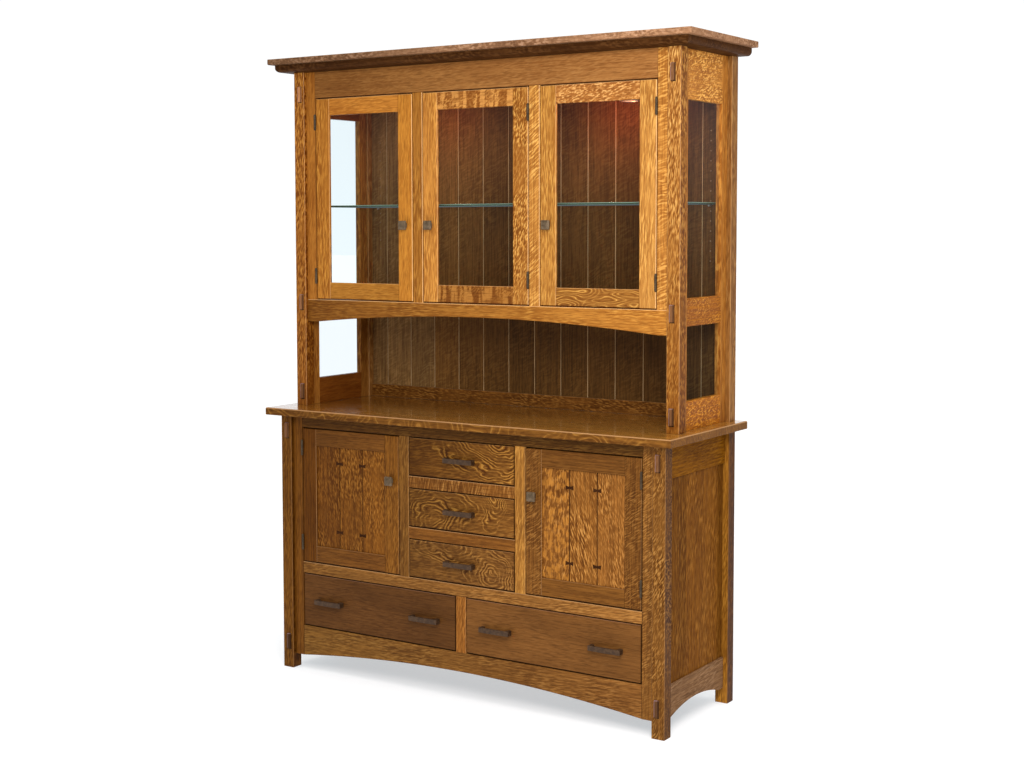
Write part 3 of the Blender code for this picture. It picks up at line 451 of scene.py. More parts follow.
finishes = {
    "honey": honey("straight", fleck=0.45, angle=3.0, length=0.034, width=0.0032, wriggle=0.006, bright=0.35),
    "honey_plain": honey("plain", fleck=0.15, streaks=0.6),
    "honey_fleck": honey("fleck", fleck=0.55, angle=14.0, length=0.012, width=0.0046, bright=0.9),
    "honey_worm": honey("worm", fleck=0.8, angle=18.0, length=0.014, width=0.0034, wriggle=0.009, bright=0.6),
    "honey_lines": honey("lines", fleck=0.55, angle=52.0, length=0.030, width=0.0038, wriggle=0.006,
                         bright=0.5),
    "honey_zigzag": honey("zigzag", fleck=0.45, angle=74.0, length=0.040, width=0.0060, wriggle=0.020,
                          bright=0.5),
    "honey_post": honey("post", fleck=0.8, angle=7.0, length=0.020, width=0.0030, wriggle=0.005, bright=0.5),
    "honey_bands": honey("bands", fleck=0.6, angle=30.0, length=0.010, width=0.0045, bands=0.75, streaks=0.5),
    "honey_swirl": honey("swirl", fleck=0.2, swirl=1.3, streaks=0.6),
    "brown": brown("straight", fleck=0.42, length=0.026, width=0.0034),
    "brown_plain": brown("plain", fleck=0.15),
    "brown_fleck": brown("fleck", fleck=0.6, angle=-8.0, length=0.016, width=0.0038, bright=0.6),
    "brown_right": brown("leaning_right", fleck=0.75, angle=-17.0, length=0.024, width=0.0034, bright=0.9),
    "brown_left": brown("leaning_left", fleck=0.65, angle=-13.0, length=0.020, width=0.0030, bright=0.7),
    "brown_curls": brown("curls", fleck=0.5, angle=56.0, length=0.022, width=0.0034, wriggle=0.012,
                         bright=0.6),
    "brown_upright": brown("upright", fleck=0.45, angle=80.0, length=0.045, width=0.0032, wriggle=0.004,
                           bright=1.2, streaks=0.1),
    "brown_post": brown("post", fleck=0.75, angle=24.0, length=0.017, width=0.0036, wriggle=0.012,
                        bright=0.8),
    "brown_fan": brown("fan", fleck=0.35, swirl=2.6, rings=FAN),
    "brown_oval": brown("oval", fleck=0.35, swirl=2.2, rings=OVALS),
    "brown_eye": brown("eye", fleck=0.35, swirl=2.2, flakes=0.15, rings=EYE),
    "brown_flakes": brown("flakes", fleck=0.6, flakes=0.5, bright=0.8),
    "worktop": brown("worktop", strips=0.09, sheen=0.24, coat=1.0),
    "worktop_edge": brown("worktop_edge", fleck=0.2, swirl=0.75, gloss=0.05),
    "end_panel": brown("end_panel", fleck=0.45, angle=9.0, length=0.03, width=0.0040, bright=0.7, strips=0.11,
                       gloss=0.01),
    "side": brown("side", fleck=0.25, gloss=0.01),
    "dusk": oak("oak_dusk", DUSK, DUSK_DEEP, fleck=0.12, streaks=0.5),
    "back": oak("oak_back", BACK, BACK_DEEP, fleck=0.22, angle=62.0, length=0.035, width=0.006, wriggle=0.02),
    "cornice": brown("cornice", fleck=0.45, angle=35.0, length=0.06, width=0.007, streaks=0.5, gloss=0.02),
    "inside_x": brown("inside_x", fleck=0.2, axes=(0, 1, 2)),
    "inside_y": brown("inside_y", fleck=0.2, axes=(1, 2, 0)),
    "plug": oak("oak_plug", stain(136, 92, 58), stain(102, 66, 38), fleck=0.1),
    "drawer_box": oak("drawer_box_wood", stain(200, 164, 112), stain(176, 138, 90), fleck=0.1),
    "spline": oak("oak_spline", stain(196, 162, 118), stain(168, 136, 96), fleck=0.0),
    "key_wood": oak("walnut_keys", stain(66, 38, 18), stain(46, 25, 12), fleck=0.0, gloss=0.02),
    "joint": oak("dark_joint", stain(88, 54, 26), stain(64, 38, 18), fleck=0.0, gloss=0.0),
}
print(len(finishes), "oak finishes")

# %% [markdown]
# ## One part
# Boards, slabs, lamps and keys are all made alike: rings of points, one after another, with a flat face over
# the first and the last ring. So one function joins rings into faces, and another joins such parts into one
# piece. The normals come from the same sums as the points. That is exact, where Blender's own would only be
# an average of the faces about a point.

# %% Skin and piece


def skin(points, normals, end, grain, painted_edge_light, finish, stain_and_light, sharp=False):
    """The part whose surface is rings of points that follow each other towards end, closed at both ends.

    points[i, j] is point j of ring i, and the face (i, j) runs from the points j and j + 1 of ring i to those
    of ring i + 1. The normals belong to the points, or with sharp to the sides that start at the points.
    """
    index = np.arange(points[..., 0].size).reshape(points.shape[:2])
    following = np.roll(index, -1, 1)
    quads = np.stack((index[:-1], following[:-1], following[1:], index[1:]), -1).reshape(-1, 4)
    if sharp:
        loops = np.stack((normals[:-1], normals[:-1], normals[1:], normals[1:]), 2)
    else:
        loops = normals.reshape(-1, 3)[quads]
    lid = np.tile(np.array(end, float), (points.shape[1], 1))
    return {
        "points": points.reshape(-1, 3), "grain": grain.reshape(-1, 3), "painted_edge_light": np.ravel(painted_edge_light),
        "stain_and_light": np.broadcast_to(stain_and_light, points.shape).reshape(-1, 3), "finish": finish,
        "faces": [*quads.tolist(), index[0][::-1].tolist(), index[-1].tolist()],
        "loops": np.concatenate((loops.reshape(-1, 3), -lid, lid)),
    }


def make_piece(node, parts, body="case", ending="boards"):
    """One object of several parts in place of a node's solid.
    Its attributes are grain, stain with painted light, and painted edge light.
    """
    name = f"{node}_{ending}"
    starts = np.cumsum([0, *(len(part["points"]) for part in parts)])
    faces = [[int(start) + i for i in face] for start, part in zip(starts, parts) for face in part["faces"]]
    keys = ("points", "grain", "stain_and_light", "painted_edge_light", "loops")
    whole = {key: np.concatenate([part[key] for part in parts]) for key in keys}
    mesh = bpy.data.meshes.new(name)
    mesh.from_pydata(whole["points"].tolist(), [], faces)
    used = list(dict.fromkeys(part["finish"] for part in parts))
    for finish in used:
        mesh.materials.append(finishes[finish])
    numbers = [used.index(part["finish"]) for part in parts for _ in part["faces"]]
    mesh.polygons.foreach_set("material_index", numbers)
    mesh.polygons.foreach_set("use_smooth", [True] * len(faces))
    whole["stain_and_light"] = np.column_stack((whole["stain_and_light"], np.ones(len(mesh.vertices))))
    for key, kind, field in (("grain", "FLOAT_VECTOR", "vector"), ("stain_and_light", "FLOAT_COLOR", "color"),
                             ("painted_edge_light", "FLOAT", "value")):
        mesh.attributes.new(key, kind, "POINT").data.foreach_set(field, whole[key].ravel())
    lengths = np.linalg.norm(whole["loops"], axis=1, keepdims=True)
    mesh.normals_split_custom_set((whole["loops"] / lengths).tolist())
    piece = bpy.data.objects.new(name, mesh)
    bpy.context.scene.collection.objects.link(piece)
    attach(piece, body)
    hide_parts(node)
    print(name, "has", len(parts), "parts and", len(faces), "faces")


def shades(stain_and_light, share):
    """The stain and painted light at each share of a length: the same all along, or from one to the other of a
    list of two. A change along a board paints light that falls off towards one end.
    """
    first, last = (np.broadcast_to(tone, 3) for tone in (stain_and_light if isinstance(stain_and_light, list) else [stain_and_light, stain_and_light]))
    return first + np.asarray(share)[..., None] * (last - first)


# %% [markdown]
# ## One board
# Every frame here is made of boards, so the board is worth making well. It is a loft: a rectangle with
# rounded corners, carried along the grain. At each end the rectangle draws in along a quarter circle, so the
# ends are eased as the long edges are. Only edges that stand free are rounded over, and they get a painted
# highlight where light would catch them and a painted shade line where it wouldn't; an edge glued to its
# neighbour stays tight, so that the joint is just a change of grain. A Bevel modifier would round every edge
# alike, but the loft knows each one.

# %% Board
CROSS_AXES = ((1, 2), (2, 0), (0, 1))
END_TURNS = np.radians((12.0, 50.0, 90.0))
CORNER_TURNS = np.radians((0.0, 30.0, 60.0, 90.0))
ARCH_STEPS = 40
TIGHT = 0.0004


def stations(first, last, ends, between):
    """Distances along a board, and the turn t of its surface at each.

    At each end t grows to 90 degrees while the distance s from that end is ends * (1 - cos t).
    """
    near = first + ends * (1 - np.cos(END_TURNS))
    far = last - ends * (1 - np.cos(END_TURNS[::-1]))
    inner = np.linspace(near[-1], far[0], between + 2)[1:-1]
    turn = np.concatenate((END_TURNS, np.full(between, math.pi / 2), END_TURNS[::-1]))
    return np.concatenate((near, inner, far)), turn


def section(b, c, free, wear, arris, joined):
    """The rounded corners of a section: the sides that each point lies on, its angle, its arris and its
    painted light.

    An arris that isn't free is tight, and its painted light isn't a number.
    """
    corner = np.repeat(np.arange(4), len(CORNER_TURNS))
    angle = corner * math.pi / 2 + np.tile(CORNER_TURNS, 4)
    signs = {b: np.array((1, -1, -1, 1))[corner], c: np.array((1, 1, -1, -1))[corner]}
    edge_lights = np.full(len(corner), wear if free is None else np.nan)
    radius = np.full(len(corner), arris)
    for axis, sign, *own in free or ():
        own_light, own_arris = (*own, *(wear, arris)[len(own):])
        edge_lights[signs[axis] == sign] = own_light
        radius[signs[axis] == sign] = own_arris
    if joined:
        axis, sign = joined
        edge_lights[signs[axis] == sign] = np.nan
    radius[np.isnan(edge_lights)] = TIGHT
    return signs, angle, radius, edge_lights


def board(along, low, high, finish, stain_and_light=1.0, arris=0.0018, free=None, ends=TIGHT, wear=0.3,
          end_wear=(0.0, 0.0), arch=None, centred=False, start=None, joined=None, painted_side_light=()):
    """A board between two corners, with its grain along one axis.

    A point on a corner of the section is the corner's centre plus r * (cos a, sin a), where r is the arris at
    a free edge and TIGHT at a glued one. Towards an end r is less by ends * (1 - sin t), t as in stations.
    free lists the free sides as (axis, sign), or as (axis, sign, wear, arris) for a wear and an arris of
    their own, and without it all are free. joined is a side glued to a layer of the same board. wear paints a
    highlight on the free edges, or below 0 a shade line there, and end_wear paints it at the two ends.
    painted_side_light lists (axis, sign, factors), for a side painted lighter or darker than the rest, as
    light falls on it. tint is one tone, or a pair from end to end, and holds the board's stain together with
    painted light. arch(s) gives the height of the lower edge of an arched rail. The grain starts at a chance
    place, at start, or with centred at the middle of the board.
    """
    low, high = np.minimum(low, high), np.maximum(low, high)
    half, middle = (high - low) / 2, (high + low) / 2
    b, c = CROSS_AXES[along]
    s, turn = stations(low[along], high[along], ends, ARCH_STEPS if arch else 0)
    signs, angle, radius, edge_lights = section(b, c, free, wear, arris, joined)
    swell = np.sin(turn)[:, None]
    points = np.zeros((len(s), len(angle), 3))
    normals = np.zeros_like(points)
    points[..., along] = s[:, None]
    normals[..., along] = (np.sign(s - middle[along]) * np.cos(turn))[:, None]
    for axis, outward in ((b, np.cos(angle)), (c, np.sin(angle))):
        shrunk = radius - ends * (1 - swell)
        points[..., axis] = middle[axis] + signs[axis] * (half[axis] - radius) + shrunk * outward
        normals[..., axis] = swell * outward
    if arch:
        under = signs[2] < 0
        rise = np.array([arch(x) for x in s]) - low[2]
        points[:, under, 2] += rise[:, None]
        normals[:, under, along] -= np.gradient(rise, s)[:, None] * normals[:, under, 2]

    wide, deep = (b, c) if half[b] > half[c] - 1e-6 else (c, b)
    if centred:
        start = -middle[[along, wide, deep]]
    grain = points[..., (along, wide, deep)] + (rng.uniform(0, 8, 3) if start is None else start)
    share = (points[..., along] - low[along]) / (high[along] - low[along])
    tones = shades(stain_and_light, share)
    for axis, sign, factors in painted_side_light:
        tones[normals[..., axis] * sign > 0.9] *= factors
    # Painted light on the edges: a highlight above 0 and a shade line below 0, along the free edges and at
    # both ends.
    painted_edge_light = np.nan_to_num(edge_lights) * np.tile((0.0, 1.0, 1.0, 0.0), 4)
    painted_edge_light = painted_edge_light + np.where(share > 0.5, end_wear[1], end_wear[0]) * np.cos(turn)[:, None]
    return skin(points, normals, np.eye(3)[along], grain, np.clip(painted_edge_light, -1, 1), finish, tones)


def member(along, x0, x1, z0, z1, face, finish, tone, free=(), **more):
    """A stile or a rail of a frame that faces the front: a board's thickness deep, with that face."""
    return board(along, (x0, face, z0), (x1, face + BOARD, z1), finish, tone, free=free, **more)


def arc(half_chord, rise, base, middle=0.0):
    """The height of a circular arch at s: base + rise - R + sqrt(R^2 - (s - middle)^2), or base beyond it."""
    radius = (half_chord**2 + rise**2) / (2 * rise)

    def height(s):
        reach = min(abs(s - middle), half_chord)
        return base + rise - radius + math.sqrt(radius**2 - reach**2)

    return height


# %% [markdown]
# ## Posts and tenon plugs
# The posts are square, and show the pillowed ends of through tenons. On the real cabinet these are short
# blocks, rounded over and glued in. Here each is a board with a large arris.

# %% Posts and plugs
PLUG_HALF, PLUG_HALF_HIGH, PLUG_PROUD, PLUG_DEPTH = 0.0077, 0.027, 0.006, 0.004


def post(side, front, low, high, finish, tone, painted_side_light=()):
    """A square post at that side, with its front face at that Y."""
    return board(2, (side * POSTS_INSIDE, front, low), (side * CASE_HALF, front + POST, high), finish, tone,
                 painted_side_light=painted_side_light)


def plug(x, z, front, stain_and_light=1.0):
    """The pillowed end of a tenon, proud of a post's face, over a dark board that paints the shadow line
    round it.

    The painted shadow line is widest on the right and below. The plug gets a painted highlight on its left
    edge and top end, and a painted shade on its right edge and foot.
    """
    left, right, below, above = 0.0003, 0.0011, 0.0015, 0.0004
    low = (x - PLUG_HALF, front - PLUG_PROUD, z - PLUG_HALF_HIGH)
    high = (x + PLUG_HALF, front + PLUG_DEPTH, z + PLUG_HALF_HIGH)
    shadow_line_low = (low[0] - left, front - 0.0002, low[2] - below)
    shadow_line_high = (high[0] + right, front + 0.003, high[2] + above)
    return [
        board(2, low, high, "plug", stain_and_light, arris=0.0035, free=[(0, -1, 0.7), (0, 1, -0.75)], ends=0.0034,
              end_wear=(-0.7, 0.5)),
        board(2, shadow_line_low, shadow_line_high, "plug", 0.12, free=()),
    ]


# %% [markdown]
# ## The ends of the base
# Two square posts hold a top rail, an arched low rail and a sunk panel of glued strips.

# %% Base ends
END_TOP_RAIL, END_LOW_RAIL, LOW_PLUG = 0.107, 0.102, 0.044
END_ARCH_RISE, END_ARCH_FLAT = 0.0265, 0.030
PANEL_SUNK, END_PANEL, TONGUE = 0.006, 0.010, 0.001
# For each side: the front post's finish and tone, the back post's finish, tone and painted side light, and the
# low plug's tone. The tones hold stain together with painted light: the left posts darker, as the light falls
# off there, the right back post dark with its front face painted lighter, and the low plugs darker as painted
# shade.
BASE_POSTS = {
    -1: (("brown", (0.63, 0.63, 0.40)), ("brown", 0.7, ()), 0.3),
    1: (("brown_post", (0.85, 0.92, 1.0)), ("brown", (0.40, 0.33, 0.12), [(1, -1, (3.4, 4.6, 9.0))]), 0.6),
}


def base_end(side, name):
    """Both posts, both rails, the panel and two plugs. The right side of each front post is painted darker, as
    shade.
    """
    low, high = 0.0, worktop_low.z - 2 * SEAT
    near, far = BASE_FRONT + POST, CASE_BACK - POST
    outer, inner = side * END_OUTSIDE, side * END_INSIDE
    panel_face = side * (END_OUTSIDE - PANEL_SUNK)
    panel_back = side * (END_OUTSIDE - PANEL_SUNK - END_PANEL)
    rail_low, rail_high = high - END_TOP_RAIL, LEG_CLEARANCE + END_LOW_RAIL
    arch = arc((far - near) / 2 - END_ARCH_FLAT, END_ARCH_RISE, LEG_CLEARANCE, (near + far) / 2)
    front_look, back_look, low_plug_shade = BASE_POSTS[side]
    parts = [
        post(side, BASE_FRONT, low, high, *front_look, [(0, 1, (0.56, 0.49, 0.30))]),
        post(side, CASE_BACK - POST, low, high, *back_look),
        board(1, (inner, near, rail_low), (outer, far, high), "side", (0.93, 0.92, 0.34), free=()),
        board(1, (inner, near, LEG_CLEARANCE), (outer, far, rail_high), "side", (1.0, 1.42, 4.1),
              free=[(2, -1)], arch=arch),
        board(2, (panel_back, near - TONGUE, rail_high - TONGUE),
              (panel_face, far + TONGUE, rail_low + TONGUE), "end_panel", (0.76, 0.74, 0.54), free=()),
        *plug(side * PLUG_X, (rail_low + high) / 2, BASE_FRONT),
        *plug(side * PLUG_X, LEG_CLEARANCE + LOW_PLUG, BASE_FRONT, low_plug_shade),
    ]
    make_piece(name, parts)


base_end(-1, "base_end_left")
base_end(1, "base_end_right")

# %% [markdown]
# ## The face frame of the base
# Stiles run from the apron to the worktop, and rails and mullions are fitted between them. The apron is one
# board whose lower edge is a shallow circle. The free edges carry painted light: LIT ones a painted
# highlight, SOFT ones a weaker one, and DIM ones a painted shade line. The tones of the members are painted
# darker towards the left, as the light falls off there. Both face frames have the same four uprights, so
# one function makes them.

# %% Uprights
# Painted light on free edges: a highlight, a weaker highlight, and a shade line.
LIT, SOFT, DIM = 0.9, 0.4, -0.7


def uprights(face, low, high, bays_low, bays_high, wear, looks):
    """A stile and a mullion on each side, each with the finish and the tone given for it in looks."""
    parts = []
    for side, stile, mullion in zip((-1, 1), looks[::2], looks[1::2]):
        edge = side * (BAY / 2)
        # Each stile has a painted shade line on its edge at the openings, and each mullion one on its left
        # edge and the given painted light on its right.
        parts += [
            member(2, side * OPENINGS_HALF, side * FRAME_HALF, low, high, face, *stile, [(0, -side, DIM)]),
            member(2, edge, edge + side * MULLION, bays_low, bays_high, face, *mullion,
                   [(0, -1, DIM), (0, 1, wear)]),
        ]
    return parts


# %% Base face frame
APRON_RISE = 0.0415
face, top = BASE_FACE, worktop_low.z - SEAT
drawer_lows = [CUPBOARD_HIGH - DRAWER_OPENING - i * (DRAWER_OPENING + RAIL) for i in range(3)]
parts = uprights(face, LEG_CLEARANCE, top, CUPBOARD_LOW, CUPBOARD_HIGH, SOFT, (
    ("brown_plain", (0.66, 0.64, 0.46)), ("brown", (0.73, 0.81, 0.85)),
    ("brown_curls", (0.93, 1.02, 1.2)), ("brown", (1.62, 1.9, 2.1))))
# The top rail is painted darker, as shade under the worktop, with a painted shade line below. The other rails
# get a painted shade line below and a painted highlight above, the mullion a painted shade line on its left
# edge, and the apron a painted shade along its arched edge.
parts += [
    member(0, -OPENINGS_HALF, OPENINGS_HALF, CUPBOARD_HIGH, top, face, "brown",
           [(0.37, 0.38, 0.33), (0.52, 0.58, 0.58)], [(2, -1, DIM), (2, 1, 0.0)]),
    member(0, -OPENINGS_HALF, OPENINGS_HALF, MID_RAIL_LOW, CUPBOARD_LOW, face, "brown",
           [(0.85, 0.97, 1.2), (1.35, 1.55, 2.1)], [(2, -1, DIM), (2, 1, LIT)]),
]
for low, figure in zip(drawer_lows, ("brown_upright", "brown_plain")):
    parts.append(member(0, -BAY / 2, BAY / 2, low - RAIL, low, face, figure, [0.75, 0.92],
                        [(2, -1, DIM), (2, 1, LIT)]))
parts += [
    member(2, -MULLION / 2, MULLION / 2, APRON_TOP, MID_RAIL_LOW, face, "brown", 1.3,
           [(0, -1, DIM), (0, 1, SOFT)]),
    member(0, -OPENINGS_HALF, OPENINGS_HALF, LEG_CLEARANCE, APRON_TOP, face, "brown",
           [(0.78, 0.93, 1.06), (0.92, 0.99, 1.28)], [(2, -1, -0.5)],
           arch=arc(OPENINGS_HALF, APRON_RISE, LEG_CLEARANCE)),
]
make_piece("base_face_frame", parts)

# %% [markdown]
# ## Slabs with worked edges
# The worktop, the moulded board and the cap of the cornice are slabs whose front and side edges are rounded
# below and above. One profile of insets and heights is carried round three sides, and the fourth is sawn off
# square where it meets the wall.

# %% Slab
EDGE_STEPS = 6
SIDES = np.array(((0, -1, 0), (1, 0, 0), (0, 1, 0), (-1, 0, 0)), float)


def slab(low, high, round_low, round_high, finish, stain_and_light, wear):
    """A slab between two corners, rounded by quarter circles on its front and side edges,
    with a painted highlight along the upper one.

    Under the edge z = low + r (1 - cos t) and inset = r (1 - sin t); over it z = high - r (1 - sin t) and
    inset = r (1 - cos t).
    """
    t = np.linspace(0, math.pi / 2, EDGE_STEPS + 1)
    z = np.concatenate((low[2] + round_low * (1 - np.cos(t)), high[2] - round_high * (1 - np.sin(t))))
    inset = np.concatenate((round_low * (1 - np.sin(t)), round_high * (1 - np.cos(t))))
    points = np.zeros((len(z), 4, 3))
    points[..., 2] = z[:, None]
    points[:, (0, 3), 0] = (low[0] + inset)[:, None]
    points[:, (1, 2), 0] = (high[0] - inset)[:, None]
    points[:, (0, 1), 1] = (low[1] + inset)[:, None]
    points[:, (2, 3), 1] = high[1]
    normals = np.concatenate((np.sin(t), np.cos(t)))[:, None, None] * SIDES
    normals[..., 2] = np.concatenate((-np.cos(t), np.sin(t)))[:, None]
    normals[:, 2] = SIDES[2]
    grain = points + rng.uniform(0, 8, 3)
    painted_edge_light = np.repeat(np.concatenate((0 * t, wear * np.sin(2 * t))), 4)
    share = (points[..., 0] - low[0]) / (high[0] - low[0])
    return skin(points, normals, (0, 0, 1), grain, painted_edge_light, finish, shades(stain_and_light, share), sharp=True)


def slab_for(node, round_low, round_high, edge, edge_stain_and_light, top, top_stain_and_light, wear):
    """A slab of a node's size, whose top face has a finish, and a stain with painted light, of its own."""
    low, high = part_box(node)
    edges = slab(low, high, round_low, round_high, edge, edge_stain_and_light, wear)
    lid = {key: edges[key][-4:] for key in ("points", "grain", "painted_edge_light", "loops")}
    lid["faces"], lid["finish"] = [[0, 1, 2, 3]], top
    lid["stain_and_light"] = shades(top_stain_and_light, (lid["points"][:, 0] - low.x) / (high.x - low.x))
    edges["faces"], edges["loops"] = edges["faces"][:-1], edges["loops"][:-4]
    make_piece(node, [edges, lid], ending="slab")


# %% Worktop and cornice
# The tones hold stain together with painted light: the cornice's moulding is painted dark as shade under the
# cap, and the worktop's top and the cap grow lighter to the right. The upper edges get a painted highlight.
slab_for("worktop", 0.002, 0.004, "worktop_edge", [(0.64, 0.68, 0.67), (0.76, 0.80, 0.80)],
         "worktop", [(0.98, 1.02, 0.88), (1.65, 1.95, 1.9)], 0.8)
slab_for("cornice_moulding", 0.0145, 0.0015, "cornice", [(0.24, 0.24, 0.42), (0.31, 0.31, 0.50)],
         "cornice", 0.4, 0.3)
slab_for("cornice_cap", 0.004, 0.002, "cornice", [(0.72, 1.0, 3.1), (1.5, 2.1, 6.8)],
         "cornice", 0.8, 0.3)

# %% [markdown]
# ## Metal and glass
# Knobs, pulls and hinges are cast and chemically darkened, and the patina is lighter in places. The panes
# are clear sheets, over which a painted reflection of the white room lies as a pale glow, stronger at a
# glancing angle. A mirror that meets the light by chance would need many samples, so the reflection is
# painted as an even glow instead.

# %% Bronze, steel and glass


def bronze(name, dark, bright):
    f = Finish(name)
    patina = f.noise(f.place(), (90.0, 90.0, 90.0), 4.0)
    return f.wear(Base_Color=f.mix(patina.between(0.35, 0.7), dark, bright), Metallic=0.5,
                  Roughness=patina * 0.25 + 0.4, Normal=f.bump(0.1, 0.0004, patina))


def see_through(f, colour):
    """Clear, under a painted reflection of the white room: a pale glow mixed over the clear glass.

    The painted reflection follows Schlick's rule, 0.02 + 0.98 (1 - cos)^5, and is painted weaker downwards,
    where the room would be mirrored darker.
    """
    clear = f.node("ShaderNodeBsdfTransparent", {}, {"Color": colour})
    painted_reflection = f.node("ShaderNodeEmission", {}, {"Color": (0.75, 0.93, 1.0, 1.0), "Strength": 0.22})
    away = f.node("ShaderNodeLayerWeight", {}, {"Blend": 0.5}, output="Facing")
    f.owner.cycles.emission_sampling = "NONE"
    share = (away.math("POWER", 5.0) * 0.98 + 0.02) * f.part(f.place(), 2).between(1.2, 2.0, 0.1, 0.85)
    return f.node("ShaderNodeMixShader", {}, {0: share, 1: clear, 2: painted_reflection})


def window_glass(name, colour):
    f = Finish(name)
    return f.show(see_through(f, colour))


def shelf_glass():
    """Clear through its faces, and sea green at its edges, with a painted highlight along their upper rim."""
    f = Finish("shelf_glass")
    rim = f.part(f.place(), 2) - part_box("glass_shelf")[1].z
    green_and_highlight = f.mix(rim.between(-0.0026, -0.0014), stain(42, 56, 38), stain(128, 150, 128))
    f.wear(Base_Color=green_and_highlight, Roughness=0.2)
    upright = f.part(f.node("ShaderNodeNewGeometry", output="Normal"), 2).math("ABSOLUTE").between(0.6, 0.8)
    edge, clear = Wire(f, f.shader.outputs[0]), see_through(f, (0.93, 0.97, 0.95, 1.0))
    return f.show(f.node("ShaderNodeMixShader", {}, {0: upright, 1: edge, 2: clear}))


def steel(name, colour, roughness):
    return Finish(name).wear(Base_Color=colour, Metallic=1.0, Roughness=roughness)


finishes |= {
    "bronze": bronze("dark_bronze", stain(62, 42, 26), stain(84, 60, 38)),
    "pewter": bronze("antique_pewter", stain(88, 71, 50), stain(118, 98, 74)),
    "hinge": bronze("olive_bronze", stain(58, 45, 28), stain(80, 64, 44)),
    "sleeve": bronze("brass_sleeve", stain(124, 96, 68), stain(150, 120, 88)),
    "pane": window_glass("window_glass", (0.965, 0.99, 0.997, 1.0)),
    "low_pane": window_glass("tinted_glass", (0.90, 0.93, 0.944, 1.0)),
    "shelf": shelf_glass(),
    "pin": steel("steel_pin", stain(190, 185, 178), 0.3),
    "lamp_rim": steel("satin_steel", stain(200, 196, 190), 0.35),
    "lens": Finish("warm_lens").wear(Base_Color=stain(240, 220, 190), Roughness=0.4,
                                     Emission_Color=stain(255, 190, 120), Emission_Strength=1.5),
}
print(len(finishes), "finishes")

# %% [markdown]
# ## The ends of the hutch
# A post stands at each corner. Between them, stiles and rails frame an upper and a lower light. A round steel
# pin in the front stile carries a corner of the glass shelf.

# %% Hutch ends
END_STILE = 0.038
MID_RAIL = (GLASS_DOOR_LOW - 0.052, GLASS_DOOR_LOW + 0.033)
LOW_LIGHT, HIGH_LIGHT = worktop_high.z + 0.090, FRIEZE_TOP - 0.1507
HUTCH_PLUGS = (HUTCH_HIGH - 0.0755, sum(MID_RAIL) / 2, HUTCH_LOW + 0.049)
PIN_LONG, PIN_RADIUS = 0.016, 0.003
# Each end's tones hold stain together with painted light: the left end's stiles and rails darker, as the light
# falls off there, and the posts lighter towards the top. The right side of each front post is painted darker
# as shade, and the back posts darker.
HUTCH_END_LOOKS = {
    -1: {"post": [(0.50, 0.44, 0.37), (0.65, 0.61, 0.54)], "stile": [0.5, 0.6], "figure": "honey_plain",
         "rails": ((0.42, 0.33, 0.26), (0.45, 0.36, 0.28), (0.5, 0.42, 0.34)), "plugs": (2.4, 1.2, 0.9)},
    1: {"post": [(0.50, 0.46, 0.36), (0.84, 0.94, 1.30)], "stile": [0.72, 0.95], "figure": "honey_fleck",
        "rails": ((0.85, 0.73, 0.32), (0.76, 0.66, 0.30), (1.12, 1.18, 1.25)), "plugs": (1.0, 1.0, 0.8)},
}


def pin(foot, outward):
    """A round pin under the glass shelf, as a board with a full arris."""
    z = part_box("glass_shelf")[0].z - SEAT - PIN_RADIUS
    foot, outward = np.array((*foot, z)), np.array((*outward, 0))
    tip = foot + PIN_LONG * outward
    across = PIN_RADIUS * (1 - np.abs(outward))
    low, high = np.minimum(foot, tip) - across, np.maximum(foot, tip) + across
    return board(0 if outward[0] else 1, low, high, "pin", arris=0.0029, ends=0.001)


def hutch_end(side, name):
    """Both posts, two stiles, three rails, three plugs and a pin."""
    look = HUTCH_END_LOOKS[side]
    near, far = HUTCH_FRONT + POST, CASE_BACK - POST
    outer, inner = side * END_OUTSIDE, side * END_INSIDE
    foot, top = HUTCH_LOW, HUTCH_HIGH - SEAT
    lights_near, lights_far = near + END_STILE, far - END_STILE
    parts = [
        post(side, HUTCH_FRONT, foot, HUTCH_HIGH, "honey_post", look["post"], [(0, 1, (0.78, 0.70, 0.52))]),
        post(side, far, foot, HUTCH_HIGH, "honey", (0.55, 0.62, 0.9)),
        board(2, (inner, near, foot), (outer, lights_near, top), "honey", [0.72, 0.95], free=()),
        board(2, (inner, lights_far, foot), (outer, far, top), "honey", look["stile"], free=()),
    ]
    for low, high, tone in zip((foot, MID_RAIL[0], HIGH_LIGHT), (LOW_LIGHT, MID_RAIL[1], top), look["rails"]):
        parts.append(board(1, (inner, lights_near, low), (outer, lights_far, high), look["figure"], tone,
                           free=()))
    for z, tone in zip(HUTCH_PLUGS, look["plugs"]):
        parts += plug(side * PLUG_X, z, HUTCH_FRONT, tone)
    parts.append(pin((inner, near + END_STILE / 2), (-side, 0)))
    make_piece(name, parts)


hutch_end(-1, "hutch_end_left")
hutch_end(1, "hutch_end_right")

# %% [markdown]
# ## The face frame of the hutch
# A deep frieze rail above, an arched rail below that runs from post to post, and mullions between the doors.

# %% Hutch face frame
HUTCH_ARCH_RISE = 0.034
face = HUTCH_FACE
parts = uprights(face, GLASS_DOOR_LOW, FRIEZE_TOP, GLASS_DOOR_LOW, GLASS_DOOR_HIGH, LIT, (
    ("honey_plain", (0.72, 0.70, 0.62)), ("honey", (0.70, 0.72, 0.66)),
    ("honey_zigzag", (0.98, 1.08, 1.28)), ("honey_lines", (1.03, 1.19, 1.49))))
